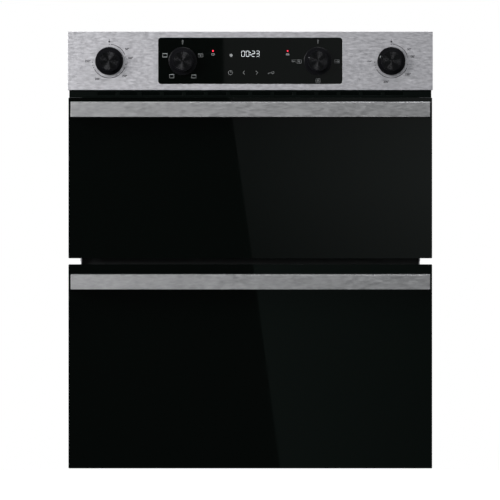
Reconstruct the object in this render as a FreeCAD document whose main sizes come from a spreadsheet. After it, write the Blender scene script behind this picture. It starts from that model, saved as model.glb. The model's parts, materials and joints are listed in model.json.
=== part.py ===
import FreeCAD, Part
import math
import os

import Sketcher

# A built-under double wall oven.  Millimetres, +Z up, the doors face -Y.
# The origin is the middle of the footprint, on the surface that the base panel stands on.

Vector = FreeCAD.Vector

DRIVING_SIZES = {
    # outline
    "fascia_width": 594.0,
    "overall_height": 711.0,
    "chassis_width": 552.0,
    "chassis_top": 703.0,
    "cabinet_face": -240.0,
    "chassis_back": 304.0,
    "front_overhang": 24.0,
    "sheet_metal": 0.8,
    "frame_sheet": 1.2,
    "frame_setback": 14.0,
    # fascia
    "fascia_bottom": 616.1,
    "fascia_sheet": 1.0,
    "vent_bottom": 603.6,
    "vent_width": 589.5,
    "glass_insert_width": 299.4,
    "glass_insert_bottom": 626.0,
    "glass_insert_height": 75.0,
    "glass_insert_corner": 4.5,
    "insert_thickness": 3.0,
    # knobs
    "outer_knob_x": 229.6,
    "inner_knob_x": 110.0,
    "knob_z": 663.0,
    "knob_radius": 22.9,
    "knob_face_radius": 14.6,
    "knob_length": 20.0,
    "spindle_radius": 3.0,
    "lamp_x": 60.8,
    "lamp_z": 679.5,
    # doors
    "door_width": 592.0,
    "lower_door_bottom": 0.0,
    "lower_door_height": 332.2,
    "upper_door_bottom": 342.0,
    "upper_door_height": 261.6,
    "door_glass": 4.0,
    "door_corner": 1.5,
    "door_depth": 34.0,
    "door_inside_width": 540.0,
    "pivot_setback": 14.0,
    "pivot_rise": 9.0,
    "pin_radius": 3.0,
    "hinge_x": 253.0,
    # handles
    "handle_width": 582.6,
    "handle_height": 24.7,
    "handle_reach": 40.0,
    "handle_thickness": 12.0,
    "handle_wall": 1.8,
    "handle_bevel": 1.6,
    "handle_cap": 3.0,
    "handle_foot": 14.0,
    "upper_handle_drop": 7.6,
    "lower_handle_drop": 15.9,
    # cavities
    "cavity_width": 444.0,
    "cavity_back": 190.0,
    "cavity_corner": 12.0,
    "enamel_sheet": 1.0,
    "lower_floor": 46.0,
    "lower_cavity_height": 242.0,
    "upper_floor": 396.0,
    "upper_cavity_height": 166.0,
    "blanket": 22.0,
    "gasket_depth": 3.8,
    "gasket_width": 9.0,
    "shelf_plate_z": 592.0,
    # fans and elements
    "element_radius": 3.25,
    "ring_radius": 88.0,
    "fan_radius": 68.0,
    "fan_shaft_radius": 4.0,
    "fan_cover_front": 154.0,
    "blower_radius": 28.0,
    "blower_length": 200.0,
    "running_gap": 0.05,
    # wire racks
    "rack_wire": 2.5,
    "rung_x": 208.5,
    "rung_pitch": 42.0,
    "shelf_half_width": 206.0,
    "shelf_wire": 3.0,
    # mounting
    "ear_hole_x": 289.0,
    "ear_hole_radius": 2.5,
    "lower_ear_z": 170.0,
    "upper_ear_z": 520.0,
    "gland_radius": 7.5,
}

doc = FreeCAD.newDocument("WallOven")
sheet = doc.addObject("Spreadsheet::Sheet", "Sizes")
sheet.Label = "Sizes"
for row, (alias, number) in enumerate(DRIVING_SIZES.items(), start=1):
    sheet.set(f"A{row}", alias)
    sheet.set(f"B{row}", str(number))
    sheet.setAlias(f"B{row}", alias)
doc.recompute()


class Size:
    """A length that carries its number and the sheet formula that gives it."""

    def __init__(self, number, formula):
        self.number = float(number)
        self.formula = formula

    def __add__(self, other):
        other = as_size(other)
        return Size(self.number + other.number, f"({self.formula} + {other.formula})")

    def __sub__(self, other):
        other = as_size(other)
        return Size(self.number - other.number, f"({self.formula} - {other.formula})")

    def __mul__(self, factor):
        return Size(self.number * factor, f"({self.formula} * {factor})")

    def __truediv__(self, factor):
        return Size(self.number / factor, f"({self.formula} / {factor})")

    def __neg__(self):
        return Size(-self.number, f"(0 - {self.formula})")

    def __radd__(self, other):
        return as_size(other) + self

    def __rsub__(self, other):
        return as_size(other) - self

    __rmul__ = __mul__


def as_size(value):
    return value if isinstance(value, Size) else Size(value, repr(float(value)))


def size(alias):
    return Size(float(sheet.get(alias)), f"Sizes.{alias}")


SUB_PARTS = []
counter = {}


def fresh(name):
    """An internal object name that hasn't been used yet."""
    counter[name] = counter.get(name, 0) + 1
    return name if counter[name] == 1 else f"{name}_{counter[name]}"


def sub_part(piece, label):
    """Registers a finished piece: its label names its node and its file."""
    piece.Label = label
    SUB_PARTS.append(piece)
    return piece


def bind(item, path, value):
    value = as_size(value)
    item.setExpression(path, value.formula)


# ---- Part primitives and booleans -------------------------------------------------------

def place(piece, corner, rotation=None):
    if rotation is not None:
        piece.Placement = FreeCAD.Placement(Vector(0, 0, 0), rotation)
    for axis, value in zip("xyz", corner):
        bind(piece, f"Placement.Base.{axis}", value)
    return piece


def box(name, x_span, y_span, z_span):
    """A box from its lowest to its highest coordinate on each axis."""
    piece = doc.addObject("Part::Box", fresh(name))
    spans = [(as_size(low), as_size(high)) for low, high in (x_span, y_span, z_span)]
    for side, (low, high) in zip(("Length", "Width", "Height"), spans):
        bind(piece, side, high - low)
    return place(piece, [low for low, high in spans])


AXIS_TURNS = {
    "x": FreeCAD.Rotation(Vector(0, 1, 0), 90),
    "y": FreeCAD.Rotation(Vector(1, 0, 0), -90),
    "z": FreeCAD.Rotation(),
}


def rod(name, start, axis, length, radius):
    """A round bar that runs from start along +X, +Y or +Z."""
    piece = doc.addObject("Part::Cylinder", fresh(name))
    bind(piece, "Radius", radius)
    bind(piece, "Height", length)
    return place(piece, start, AXIS_TURNS[axis])


def ring_piece(name, centre, ring_radius, wire_radius, rotation, angle=360.0):
    """A torus, or the part of one that makes a bend in a bar."""
    piece = doc.addObject("Part::Torus", fresh(name))
    bind(piece, "Radius1", ring_radius)
    bind(piece, "Radius2", wire_radius)
    piece.Angle3 = angle
    return place(piece, centre, rotation)


def fuse(name, pieces):
    result = doc.addObject("Part::MultiFuse", fresh(name))
    result.Shapes = pieces
    return result


def cut(name, base, tools):
    result = doc.addObject("Part::Cut", fresh(name))
    result.Base = base
    result.Tool = tools[0] if len(tools) == 1 else fuse(f"{name}_tools", tools)
    return result


def group(name, pieces):
    """Separate solids of one kind that share a node."""
    result = doc.addObject("Part::Compound", fresh(name))
    result.Links = pieces
    return result


def mirror_x(name, source):
    result = doc.addObject("Part::Mirroring", fresh(name))
    result.Source = source
    result.Base = Vector(0, 0, 0)
    result.Normal = Vector(1, 0, 0)
    return result


def both_sides(name, source):
    return group(name, [source, mirror_x(f"{name}_mirror", source)])


# ---- PartDesign bodies ------------------------------------------------------------------
# A sketch on XZ_Plane has X to the right, Z up and its normal towards -Y, so its pads grow
# towards the front of the oven.

def new_body(name):
    return doc.addObject("PartDesign::Body", fresh(name))


def new_sketch(body, role, offset=(0, 0, 0)):
    plane = next(item for item in body.Origin.OriginFeatures if item.Role == role)
    sketch = body.newObject("Sketcher::SketchObject", fresh(f"{body.Name}_sketch"))
    sketch.AttachmentSupport = [(plane, "")]
    sketch.MapMode = "FlatFace"
    for axis, value in zip("xyz", offset):
        bind(sketch, f"AttachmentOffset.Base.{axis}", value)
    return sketch


def bind_constraint(sketch, constraint, value):
    value = as_size(value)
    index = sketch.addConstraint(Sketcher.Constraint(*constraint, value.number))
    if value.formula != repr(value.number):
        sketch.setExpression(f"Constraints[{index}]", value.formula)


def pin_point(sketch, geometry, point, across, up):
    """Ties a point of a sketch to the sketch's origin by its two coordinates."""
    bind_constraint(sketch, ("DistanceX", -1, 1, geometry, point), across)
    bind_constraint(sketch, ("DistanceY", -1, 1, geometry, point), up)


def outline(sketch, points):
    """A closed outline of straight lines through the given corners."""
    points = [(as_size(across), as_size(up)) for across, up in points]
    first = sketch.GeometryCount
    for index, start in enumerate(points):
        end = points[(index + 1) % len(points)]
        low = Vector(start[0].number, start[1].number, 0)
        high = Vector(end[0].number, end[1].number, 0)
        sketch.addGeometry(Part.LineSegment(low, high), False)
    for index, (across, up) in enumerate(points):
        following = first + (index + 1) % len(points)
        sketch.addConstraint(Sketcher.Constraint("Coincident", first + index, 2, following, 1))
        pin_point(sketch, first + index, 1, across, up)
    return sketch


def rectangle(sketch, x_span, z_span):
    (left, right), (low, high) = x_span, z_span
    return outline(sketch, [(left, low), (right, low), (right, high), (left, high)])


def rounded_rectangle(sketch, x_span, z_span, corner):
    """A rectangle with four equal round corners, tangent to its sides."""
    left, right = (as_size(value) for value in x_span)
    low, high = (as_size(value) for value in z_span)
    corner = as_size(corner)
    x0, x1, z0, z1, r = (value.number for value in (left, right, low, high, corner))
    first = sketch.GeometryCount
    runs = [
        ((x0 + r, z0), (x1 - r, z0)),
        ((x1, z0 + r), (x1, z1 - r)),
        ((x1 - r, z1), (x0 + r, z1)),
        ((x0, z1 - r), (x0, z0 + r)),
    ]
    centres = [(x1 - r, z0 + r), (x1 - r, z1 - r), (x0 + r, z1 - r), (x0 + r, z0 + r)]
    for start, end in runs:
        sketch.addGeometry(Part.LineSegment(Vector(*start, 0), Vector(*end, 0)), False)
    for quarter, centre in enumerate(centres):
        circle = Part.Circle(Vector(*centre, 0), Vector(0, 0, 1), r)
        begin = math.radians(-90 + 90 * quarter)
        sketch.addGeometry(Part.ArcOfCircle(circle, begin, begin + math.pi / 2), False)
    for side in range(4):
        arc = first + 4 + side
        following = first + (side + 1) % 4
        sketch.addConstraint(Sketcher.Constraint("Tangent", first + side, 2, arc, 1))
        sketch.addConstraint(Sketcher.Constraint("Tangent", arc, 2, following, 1))
    sketch.addConstraint(Sketcher.Constraint("Horizontal", first))
    sketch.addConstraint(Sketcher.Constraint("Vertical", first + 1))
    for side in range(3):
        sketch.addConstraint(Sketcher.Constraint("Equal", first + 4 + side, first + 5 + side))
    bind_constraint(sketch, ("Radius", first + 4), corner)
    bind_constraint(sketch, ("DistanceY", -1, 1, first, 1), low)
    bind_constraint(sketch, ("DistanceX", -1, 1, first + 1, 1), right)
    bind_constraint(sketch, ("DistanceY", -1, 1, first + 2, 1), high)
    bind_constraint(sketch, ("DistanceX", -1, 1, first + 3, 1), left)
    return sketch


def circle(sketch, centre, radius):
    across, up = as_size(centre[0]), as_size(centre[1])
    radius = as_size(radius)
    middle = Vector(across.number, up.number, 0)
    index = sketch.GeometryCount
    sketch.addGeometry(Part.Circle(middle, Vector(0, 0, 1), radius.number), False)
    bind_constraint(sketch, ("Radius", index), radius)
    pin_point(sketch, index, 3, across, up)
    return sketch


def pad(body, sketch, length):
    feature = body.newObject("PartDesign::Pad", fresh(f"{body.Name}_pad"))
    feature.Profile = sketch
    bind(feature, "Length", length)
    body.Tip = feature
    return feature


def pocket(body, sketch, length):
    """Cuts from the sketch against its normal, and makes sure that something was cut."""
    doc.recompute()
    volume = body.Shape.Volume
    feature = body.newObject("PartDesign::Pocket", fresh(f"{body.Name}_pocket"))
    feature.Profile = sketch
    bind(feature, "Length", length)
    body.Tip = feature
    doc.recompute()
    if body.Shape.Volume > volume - 0.1:
        raise ValueError(f"{feature.Name} cuts nothing")
    return feature


def revolve(body, sketch, axis="V_Axis"):
    feature = body.newObject("PartDesign::Revolution", fresh(f"{body.Name}_turn"))
    feature.Profile = sketch
    feature.ReferenceAxis = (sketch, [axis])
    feature.Angle = 360.0
    body.Tip = feature
    return feature


def polar_pattern(body, feature, count, axis_role="Y_Axis"):
    """Repeats a feature round one of the body's own axes."""
    axis = next(item for item in body.Origin.OriginFeatures if item.Role == axis_role)
    pattern = body.newObject("PartDesign::PolarPattern", fresh(f"{body.Name}_pattern"))
    pattern.Originals = [feature]
    pattern.Axis = (axis, [""])
    pattern.Angle = 360.0
    pattern.Occurrences = count
    body.Tip = pattern
    return pattern


def linear_pattern(body, feature, count, length, axis_role="X_Axis"):
    """Repeats a feature in a row along one of the body's own axes."""
    axis = next(item for item in body.Origin.OriginFeatures if item.Role == axis_role)
    pattern = body.newObject("PartDesign::LinearPattern", fresh(f"{body.Name}_row"))
    pattern.Originals = [feature]
    pattern.Direction = (axis, [""])
    bind(pattern, "Length", length)
    pattern.Occurrences = count
    body.Tip = pattern
    return pattern


def plate_xz(name, front, back, x_span, z_span, corner=None):
    """A flat plate that faces the front, between two Y planes."""
    body = new_body(name)
    sketch = new_sketch(body, "XZ_Plane", (0, 0, -as_size(back)))
    if corner is None:
        rectangle(sketch, x_span, z_span)
    else:
        rounded_rectangle(sketch, x_span, z_span, corner)
    pad(body, sketch, as_size(back) - front)
    return body


# ---- places that several pieces share -----------------------------------------------------

SHEET = size("sheet_metal")
HALF_CHASSIS = size("chassis_width") / 2
INSIDE = HALF_CHASSIS - SHEET
CABINET = size("cabinet_face")
BACK = size("chassis_back")
FRONT = CABINET - size("front_overhang")
FRAME_FRONT = CABINET + size("frame_setback")
FRAME_BACK = FRAME_FRONT + size("frame_sheet")
SHELF_Z = size("shelf_plate_z")
ENAMEL = size("enamel_sheet")
HALF_CAVITY = size("cavity_width") / 2
CAVITY_BACK = size("cavity_back")
FLOORS = {"upper": size("upper_floor"), "lower": size("lower_floor")}
HEIGHTS = {"upper": size("upper_cavity_height"), "lower": size("lower_cavity_height")}
DOOR_BOTTOMS = {"upper": size("upper_door_bottom"), "lower": size("lower_door_bottom")}
DOOR_HEIGHTS = {"upper": size("upper_door_height"), "lower": size("lower_door_height")}
PIVOT_Y = FRONT + size("pivot_setback")
FAN_Z = FLOORS["lower"] + HEIGHTS["lower"] / 2
LAMP_X = 190.0
LAMP_DROP = 42.0
LAMP_RADIUS = 20.0
SLOT_HALF_WIDTH = 4.0
ARM_HALF_WIDTH = 1.5
ARM_END_RADIUS = 5.0
ARM_TOP = 14.0
KNOB_Z = size("knob_z")
KNOBS = {
    "upper_function": -size("inner_knob_x"),
    "upper_temperature": -size("outer_knob_x"),
    "lower_function": size("inner_knob_x"),
    "lower_temperature": size("outer_knob_x"),
}


def pivot_z(level):
    return DOOR_BOTTOMS[level] + size("pivot_rise")


# ---- casing -------------------------------------------------------------------------------

FLANGE = 12.0
PANEL_GAP = 0.2


def folded_panel(name, z_face, z_flange, front):
    """A flat panel between the side panels, with its two long edges folded over."""
    body = new_body(name)
    edge = INSIDE - PANEL_GAP
    inner = edge - SHEET
    step = SHEET if z_flange > 0 else -SHEET
    sketch = new_sketch(body, "XZ_Plane", (0, 0, -(BACK - SHEET - PANEL_GAP)))
    outline(sketch, [
        (-edge, z_face), (edge, z_face), (edge, z_face + z_flange), (inner, z_face + z_flange),
        (inner, z_face + step), (-inner, z_face + step), (-inner, z_face + z_flange),
        (-edge, z_face + z_flange),
    ])
    pad(body, sketch, BACK - SHEET - PANEL_GAP - front)
    return body


def side_panel(name):
    """The right-hand side: a tall sheet with its rear edge folded in behind the rear panel."""
    body = new_body(name)
    sketch = new_sketch(body, "XY_Plane")
    outline(sketch, [
        (INSIDE, CABINET), (HALF_CHASSIS, CABINET), (HALF_CHASSIS, BACK),
        (INSIDE - FLANGE, BACK), (INSIDE - FLANGE, BACK - SHEET), (INSIDE, BACK - SHEET),
    ])
    pad(body, sketch, size("chassis_top"))
    return body


def casing():
    behind_frame = FRAME_BACK + PANEL_GAP
    sub_part(folded_panel("base_panel", as_size(0), FLANGE, behind_frame), "base_panel")
    sub_part(folded_panel("control_shelf", SHELF_Z, FLANGE, behind_frame), "control_shelf")
    behind_fascia = CABINET + PANEL_GAP
    top = folded_panel("top_panel", size("chassis_top"), -FLANGE, behind_fascia)
    sub_part(top, "top_panel")
    right = sub_part(side_panel("right_side_panel"), "right_side_panel")
    sub_part(mirror_x("left_side_panel", right), "left_side_panel")
    rear_panel()
    mounting_ears()


TERMINAL_X = (150.0, 236.0)
TERMINAL_Z = (612.0, 684.0)
VENT_SLOTS = 14
VENT_PITCH = 24.0
VENT_SLOT_WIDTH = 5.0


def rear_panel():
    """The rear sheet, with cooling slots in two rows and the terminal window."""
    body = new_body("rear_panel")
    outer = INSIDE - FLANGE - PANEL_GAP
    back = BACK - SHEET - PANEL_GAP
    sketch = new_sketch(body, "XZ_Plane", (0, 0, -BACK))
    rectangle(sketch, (-outer, outer), (0, size("chassis_top")))
    pad(body, sketch, BACK - back)
    window = new_sketch(body, "XZ_Plane", (0, 0, -back))
    rectangle(window, TERMINAL_X, TERMINAL_Z)
    pocket(body, window, BACK - back)
    first_x = -VENT_PITCH * (VENT_SLOTS - 1) / 2
    for low in (120.0, 470.0):
        slot = new_sketch(body, "XZ_Plane", (0, 0, -back))
        rectangle(slot, (first_x, first_x + VENT_SLOT_WIDTH), (low, low + 60.0))
        first_slot = pocket(body, slot, BACK - back)
        linear_pattern(body, first_slot, VENT_SLOTS, VENT_PITCH * (VENT_SLOTS - 1))
    sub_part(body, "rear_panel")


EAR_WIDTH = 21.0
EAR_HEIGHT = 36.0
EAR_SHEET = 1.2
EAR_FLANGE = 10.0
EAR_MARGIN = 6.0


def mounting_ears():
    """Four drilled ears, welded to the side panels' front edges, behind the door glass."""
    ears = []
    outer = size("ear_hole_x") + EAR_MARGIN
    for level in ("lower", "upper"):
        middle = size(f"{level}_ear_z")
        span = (middle - EAR_HEIGHT / 2, middle + EAR_HEIGHT / 2)
        body = new_body(f"{level}_ear")
        sketch = new_sketch(body, "XZ_Plane", (0, 0, -CABINET))
        rectangle(sketch, (outer - EAR_WIDTH, outer), span)
        pad(body, sketch, EAR_SHEET)
        flange = new_sketch(body, "XZ_Plane", (0, 0, -(CABINET + EAR_FLANGE)))
        rectangle(flange, (outer - EAR_WIDTH, INSIDE), span)
        pad(body, flange, EAR_FLANGE + EAR_SHEET)
        hole = new_sketch(body, "XZ_Plane", (0, 0, -(CABINET - EAR_SHEET)))
        circle(hole, (size("ear_hole_x"), middle), size("ear_hole_radius"))
        pocket(body, hole, EAR_SHEET)
        ears += [body, mirror_x(f"{level}_ear_left", body)]
    sub_part(group("ears", ears), "mounting_ears")


def front_frame():
    """The black front of the body: two openings, and a slot for each hinge arm."""
    body = new_body("front_frame")
    sketch = new_sketch(body, "XZ_Plane", (0, 0, -FRAME_BACK))
    edge = INSIDE - PANEL_GAP / 2
    rectangle(sketch, (-edge, edge), (0, size("vent_bottom") - 0.6))
    pad(body, sketch, size("frame_sheet"))
    for level in ("upper", "lower"):
        opening = new_sketch(body, "XZ_Plane", (0, 0, -FRAME_FRONT))
        low = FLOORS[level]
        span = (low, low + HEIGHTS[level])
        rounded_rectangle(opening, (-HALF_CAVITY, HALF_CAVITY), span, size("cavity_corner"))
        pocket(body, opening, size("frame_sheet"))
        slots = new_sketch(body, "XZ_Plane", (0, 0, -FRAME_FRONT))
        bottom = pivot_z(level) - ARM_END_RADIUS - 1.5
        for side in (-1, 1):
            middle = size("hinge_x") * side
            span_x = (middle - SLOT_HALF_WIDTH, middle + SLOT_HALF_WIDTH)
            rectangle(slots, span_x, (bottom, pivot_z(level) + ARM_TOP + 1.5))
        pocket(body, slots, size("frame_sheet"))
    sub_part(body, "front_frame")


# ---- cavities -----------------------------------------------------------------------------

def cavity(level):
    """A pressed, enamelled box, open at the front, with holes for the lamp and the motor."""
    body = new_body(f"{level}_cavity")
    low, high = FLOORS[level], FLOORS[level] + HEIGHTS[level]
    corner = size("cavity_corner")
    shell = new_sketch(body, "XZ_Plane", (0, 0, -(CAVITY_BACK + ENAMEL)))
    outer = HALF_CAVITY + ENAMEL
    rounded_rectangle(shell, (-outer, outer), (low - ENAMEL, high + ENAMEL), corner + ENAMEL)
    pad(body, shell, CAVITY_BACK + ENAMEL - FRAME_BACK)
    inside = new_sketch(body, "XZ_Plane", (0, 0, -FRAME_BACK))
    rounded_rectangle(inside, (-HALF_CAVITY, HALF_CAVITY), (low, high), corner)
    pocket(body, inside, CAVITY_BACK - FRAME_BACK)
    holes = new_sketch(body, "XZ_Plane", (0, 0, -CAVITY_BACK))
    circle(holes, (-LAMP_X, high - LAMP_DROP), LAMP_RADIUS - 4.0)
    if level == "lower":
        circle(holes, (0, FAN_Z), size("fan_shaft_radius") + 4.0)
    pocket(body, holes, ENAMEL)
    sub_part(body, f"{level}_cavity")


BLANKET_GAP = 0.4


def insulation(level):
    """A mineral-wool blanket wrapped round the top, the sides and the floor of a cavity."""
    wool = size("blanket")
    gap = ENAMEL + BLANKET_GAP
    low, high = FLOORS[level], FLOORS[level] + HEIGHTS[level]
    corner = size("cavity_corner") + gap
    body = new_body(f"{level}_insulation")
    sketch = new_sketch(body, "XZ_Plane", (0, 0, -CAVITY_BACK))
    outer = HALF_CAVITY + gap + wool
    span = (low - gap - wool, high + gap + wool)
    rounded_rectangle(sketch, (-outer, outer), span, corner + wool)
    pad(body, sketch, CAVITY_BACK - FRAME_BACK - 2.0)
    inner = HALF_CAVITY + gap
    core = new_sketch(body, "XZ_Plane", (0, 0, -(FRAME_BACK + 2.0)))
    rounded_rectangle(core, (-inner, inner), (low - gap, high + gap), corner)
    pocket(body, core, CAVITY_BACK - FRAME_BACK - 2.0)
    sub_part(body, f"{level}_insulation")


def gasket(level):
    """A soft seal that runs round the opening, on the front frame."""
    width = size("gasket_width")
    low, high = FLOORS[level], FLOORS[level] + HEIGHTS[level]
    corner = size("cavity_corner") + 3.0
    body = new_body(f"{level}_gasket")
    front = FRAME_FRONT - size("gasket_depth")
    inner = HALF_CAVITY + 3.0
    outer = inner + width
    sketch = new_sketch(body, "XZ_Plane", (0, 0, -FRAME_FRONT))
    span = (low - 3.0 - width, high + 3.0 + width)
    rounded_rectangle(sketch, (-outer, outer), span, corner + width)
    rounded_rectangle(sketch, (-inner, inner), (low - 3.0, high + 3.0), corner)
    pad(body, sketch, FRAME_FRONT - front)
    sub_part(body, f"{level}_gasket")


def oven_lamps():
    """A lamp in each cavity: a glass dome on a round holder that passes through the wall."""
    lamps = []
    for level in ("upper", "lower"):
        middle = FLOORS[level] + HEIGHTS[level] - LAMP_DROP
        body = new_body(f"{level}_lamp")
        sketch = new_sketch(body, "XY_Plane", (-LAMP_X, 0, middle))
        neck = LAMP_RADIUS - 4.5
        dome_front = CAVITY_BACK - 15.0
        outline(sketch, [
            (0, dome_front), (neck, dome_front), (LAMP_RADIUS, CAVITY_BACK - 8.0),
            (LAMP_RADIUS, CAVITY_BACK), (neck, CAVITY_BACK), (neck, CAVITY_BACK + 34.0),
            (0, CAVITY_BACK + 34.0),
        ])
        revolve(body, sketch)
        lamps.append(body)
    sub_part(group("lamps", lamps), "oven_lamps")


GRILL_RUNS = 6
GRILL_PITCH = 62.0
GRILL_FRONT = -170.0
GRILL_DROP = 18.0
ELEMENT_TAIL = 40.0


def grill_element(level):
    """A tubular heater that runs to and fro under the roof; both tails leave at the rear."""
    radius = size("element_radius")
    z = FLOORS[level] + HEIGHTS[level] - GRILL_DROP
    rear = CAVITY_BACK - ELEMENT_TAIL
    pieces = []
    first = -GRILL_PITCH * (GRILL_RUNS - 1) / 2
    for index in range(GRILL_RUNS):
        x = first + index * GRILL_PITCH
        last = CAVITY_BACK if index in (0, GRILL_RUNS - 1) else rear
        pieces.append(rod(f"{level}_grill_run", (x, GRILL_FRONT, z), "y", last - GRILL_FRONT, radius))
    for index in range(GRILL_RUNS - 1):
        middle = first + (index + 0.5) * GRILL_PITCH
        at_front = index % 2 == 0
        turn = FreeCAD.Rotation(Vector(0, 0, 1), 180 if at_front else 0)
        centre = (middle, GRILL_FRONT if at_front else rear, z)
        pieces.append(
            ring_piece(f"{level}_grill_bend", centre, GRILL_PITCH / 2, radius, turn, angle=180.0))
    sub_part(fuse(f"{level}_grill", pieces), f"{level}_grill_element")


TAIL_X = 18.0


def ring_element():
    """A circular heater round the fan, with two straight tails back to the rear wall."""
    radius = size("element_radius")
    y = CAVITY_BACK - 14.0
    turn = FreeCAD.Rotation(Vector(1, 0, 0), 90)
    ring = ring_piece("ring_loop", (0, y, FAN_Z), size("ring_radius"), radius, turn)
    drop = (size("ring_radius").number ** 2 - TAIL_X ** 2) ** 0.5
    tails = [
        rod("ring_tail", (side * TAIL_X, y, FAN_Z - drop), "y", CAVITY_BACK - y, radius)
        for side in (-1, 1)
    ]
    sub_part(fuse("ring", [ring] + tails), "ring_element")


COVER_HALF_WIDTH = 150.0
COVER_HALF_HEIGHT = 95.5


def fan_cover():
    """A pressed cover in front of the fan: round inlet holes, and open left and right edges."""
    body = new_body("fan_cover")
    front = size("fan_cover_front")
    half_x, half_z = COVER_HALF_WIDTH, COVER_HALF_HEIGHT
    profile = new_sketch(body, "YZ_Plane", (0, 0, -half_x))
    outline(profile, [
        (front, FAN_Z - half_z), (CAVITY_BACK, FAN_Z - half_z),
        (CAVITY_BACK, FAN_Z - half_z + ENAMEL), (front + ENAMEL, FAN_Z - half_z + ENAMEL),
        (front + ENAMEL, FAN_Z + half_z - ENAMEL), (CAVITY_BACK, FAN_Z + half_z - ENAMEL),
        (CAVITY_BACK, FAN_Z + half_z), (front, FAN_Z + half_z),
    ])
    pad(body, profile, 2 * half_x)
    for ring_number, holes in ((1, 6), (2, 12), (3, 18)):
        for index in range(holes):
            angle = 2 * math.pi * index / holes
            reach = 15.0 * ring_number
            centre = (reach * math.cos(angle), FAN_Z + reach * math.sin(angle))
            if index == 0:
                inlet = new_sketch(body, "XZ_Plane", (0, 0, -front))
            circle(inlet, centre, 4.2)
        pocket(body, inlet, ENAMEL)
    sub_part(body, "fan_cover")


# ---- convection fan and cooling blower ------------------------------------------------------

def moved_body(name, origin):
    """A body built round its own axis and then put in place."""
    body = new_body(name)
    for axis, value in zip("xyz", origin):
        bind(body, f"Placement.Base.{axis}", value)
    return body


def disc_on(body, role, start, length, radius):
    """A round pad on one of the body's planes, from start along the plane's normal."""
    sketch = new_sketch(body, role, (0, 0, start))
    circle(sketch, (0, 0), radius)
    return pad(body, sketch, length)


MOTOR_END = 50.0
SHAFT_REAR = 8.0
SHAFT_FRONT = 24.0
FAN_PLATE_START = 8.0
FAN_PLATE = 1.0
HUB_LENGTH = 12.0
HUB_RADIUS = 9.0
FAN_NUT_LENGTH = 5.0
FAN_NUT_RADIUS = 6.5
BLADES = 8
BLADE_INNER = 20.0
BLADE_HEIGHT = 14.0
BLADE_HALF_SHEET = 0.6


def convection_fan():
    """Shaft, nut, back plate and eight flat blades; it turns about Y behind the fan cover."""
    body = moved_body("convection_fan", (0, CAVITY_BACK, FAN_Z))
    shaft = size("fan_shaft_radius") - size("running_gap")
    rear = MOTOR_END + SHAFT_REAR
    plate_front = FAN_PLATE_START + FAN_PLATE
    disc_on(body, "XZ_Plane", -rear, rear + SHAFT_FRONT, shaft)
    disc_on(body, "XZ_Plane", FAN_PLATE_START, FAN_PLATE, size("fan_radius"))
    disc_on(body, "XZ_Plane", plate_front, HUB_LENGTH, HUB_RADIUS)
    disc_on(body, "XZ_Plane", plate_front + HUB_LENGTH, FAN_NUT_LENGTH, FAN_NUT_RADIUS)
    sketch = new_sketch(body, "XZ_Plane", (0, 0, plate_front))
    reach = (BLADE_INNER, size("fan_radius") - 2.0)
    rectangle(sketch, reach, (-BLADE_HALF_SHEET, BLADE_HALF_SHEET))
    blade = pad(body, sketch, BLADE_HEIGHT)
    polar_pattern(body, blade, BLADES)
    sub_part(body, "convection_fan")


MOTOR_PLATE_HALF_X = 60.0
MOTOR_PLATE_HALF_Z = 20.0
MOTOR_PLATE = 2.0
MOTOR_FOOT = 8.0
MOTOR_STANDOFF = 4.0
MOTOR_CORE_HALF_X = 34.0
MOTOR_CORE_Z = (-34.0, 28.0)
MOTOR_CORE_DEPTH = 24.0
MOTOR_COIL_HALF_X = 20.0
MOTOR_COIL_HEIGHT = 16.0
MOTOR_CAGE_RADIUS = 16.0


def convection_motor():
    """A shaded-pole motor on a bracket behind the lower cavity."""
    wall = CAVITY_BACK + ENAMEL
    motor_back = CAVITY_BACK + MOTOR_END
    plate_front = wall + MOTOR_STANDOFF
    core_front = plate_front + MOTOR_PLATE
    core_back = core_front + MOTOR_CORE_DEPTH
    core_low, core_high = (FAN_Z + offset for offset in MOTOR_CORE_Z)
    half_x, half_z = MOTOR_PLATE_HALF_X, MOTOR_PLATE_HALF_Z
    plate_z = (FAN_Z - half_z, FAN_Z + half_z)
    plate = box("motor_plate", (-half_x, half_x), (plate_front, core_front), plate_z)
    feet = [
        box("motor_foot", (x, x + MOTOR_FOOT), (wall, plate_front), plate_z)
        for x in (-half_x, half_x - MOTOR_FOOT)
    ]
    core = box("motor_core", (-MOTOR_CORE_HALF_X, MOTOR_CORE_HALF_X), (core_front, core_back),
               (core_low, core_high))
    coil = box("motor_coil", (-MOTOR_COIL_HALF_X, MOTOR_COIL_HALF_X), (wall, motor_back),
               (core_low - MOTOR_COIL_HEIGHT, core_low))
    cage = rod("motor_cage", (0, core_back, FAN_Z), "y", motor_back - core_back, MOTOR_CAGE_RADIUS)
    bore = rod("motor_bore", (0, wall, FAN_Z), "y", MOTOR_END, size("fan_shaft_radius"))
    solid = fuse("motor_block", [plate, core, coil, cage] + feet)
    sub_part(cut("convection_motor", solid, [bore]), "convection_motor")


BLOWER_Y = 100.0
BLOWER_GAP = 9.0
HOUSING_HALF_LENGTH = 112.0
BLOWER_SHAFT = 3.0


def blower_axis_z():
    return SHELF_Z + SHEET + 1.0 + BLOWER_GAP + size("blower_radius")


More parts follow.
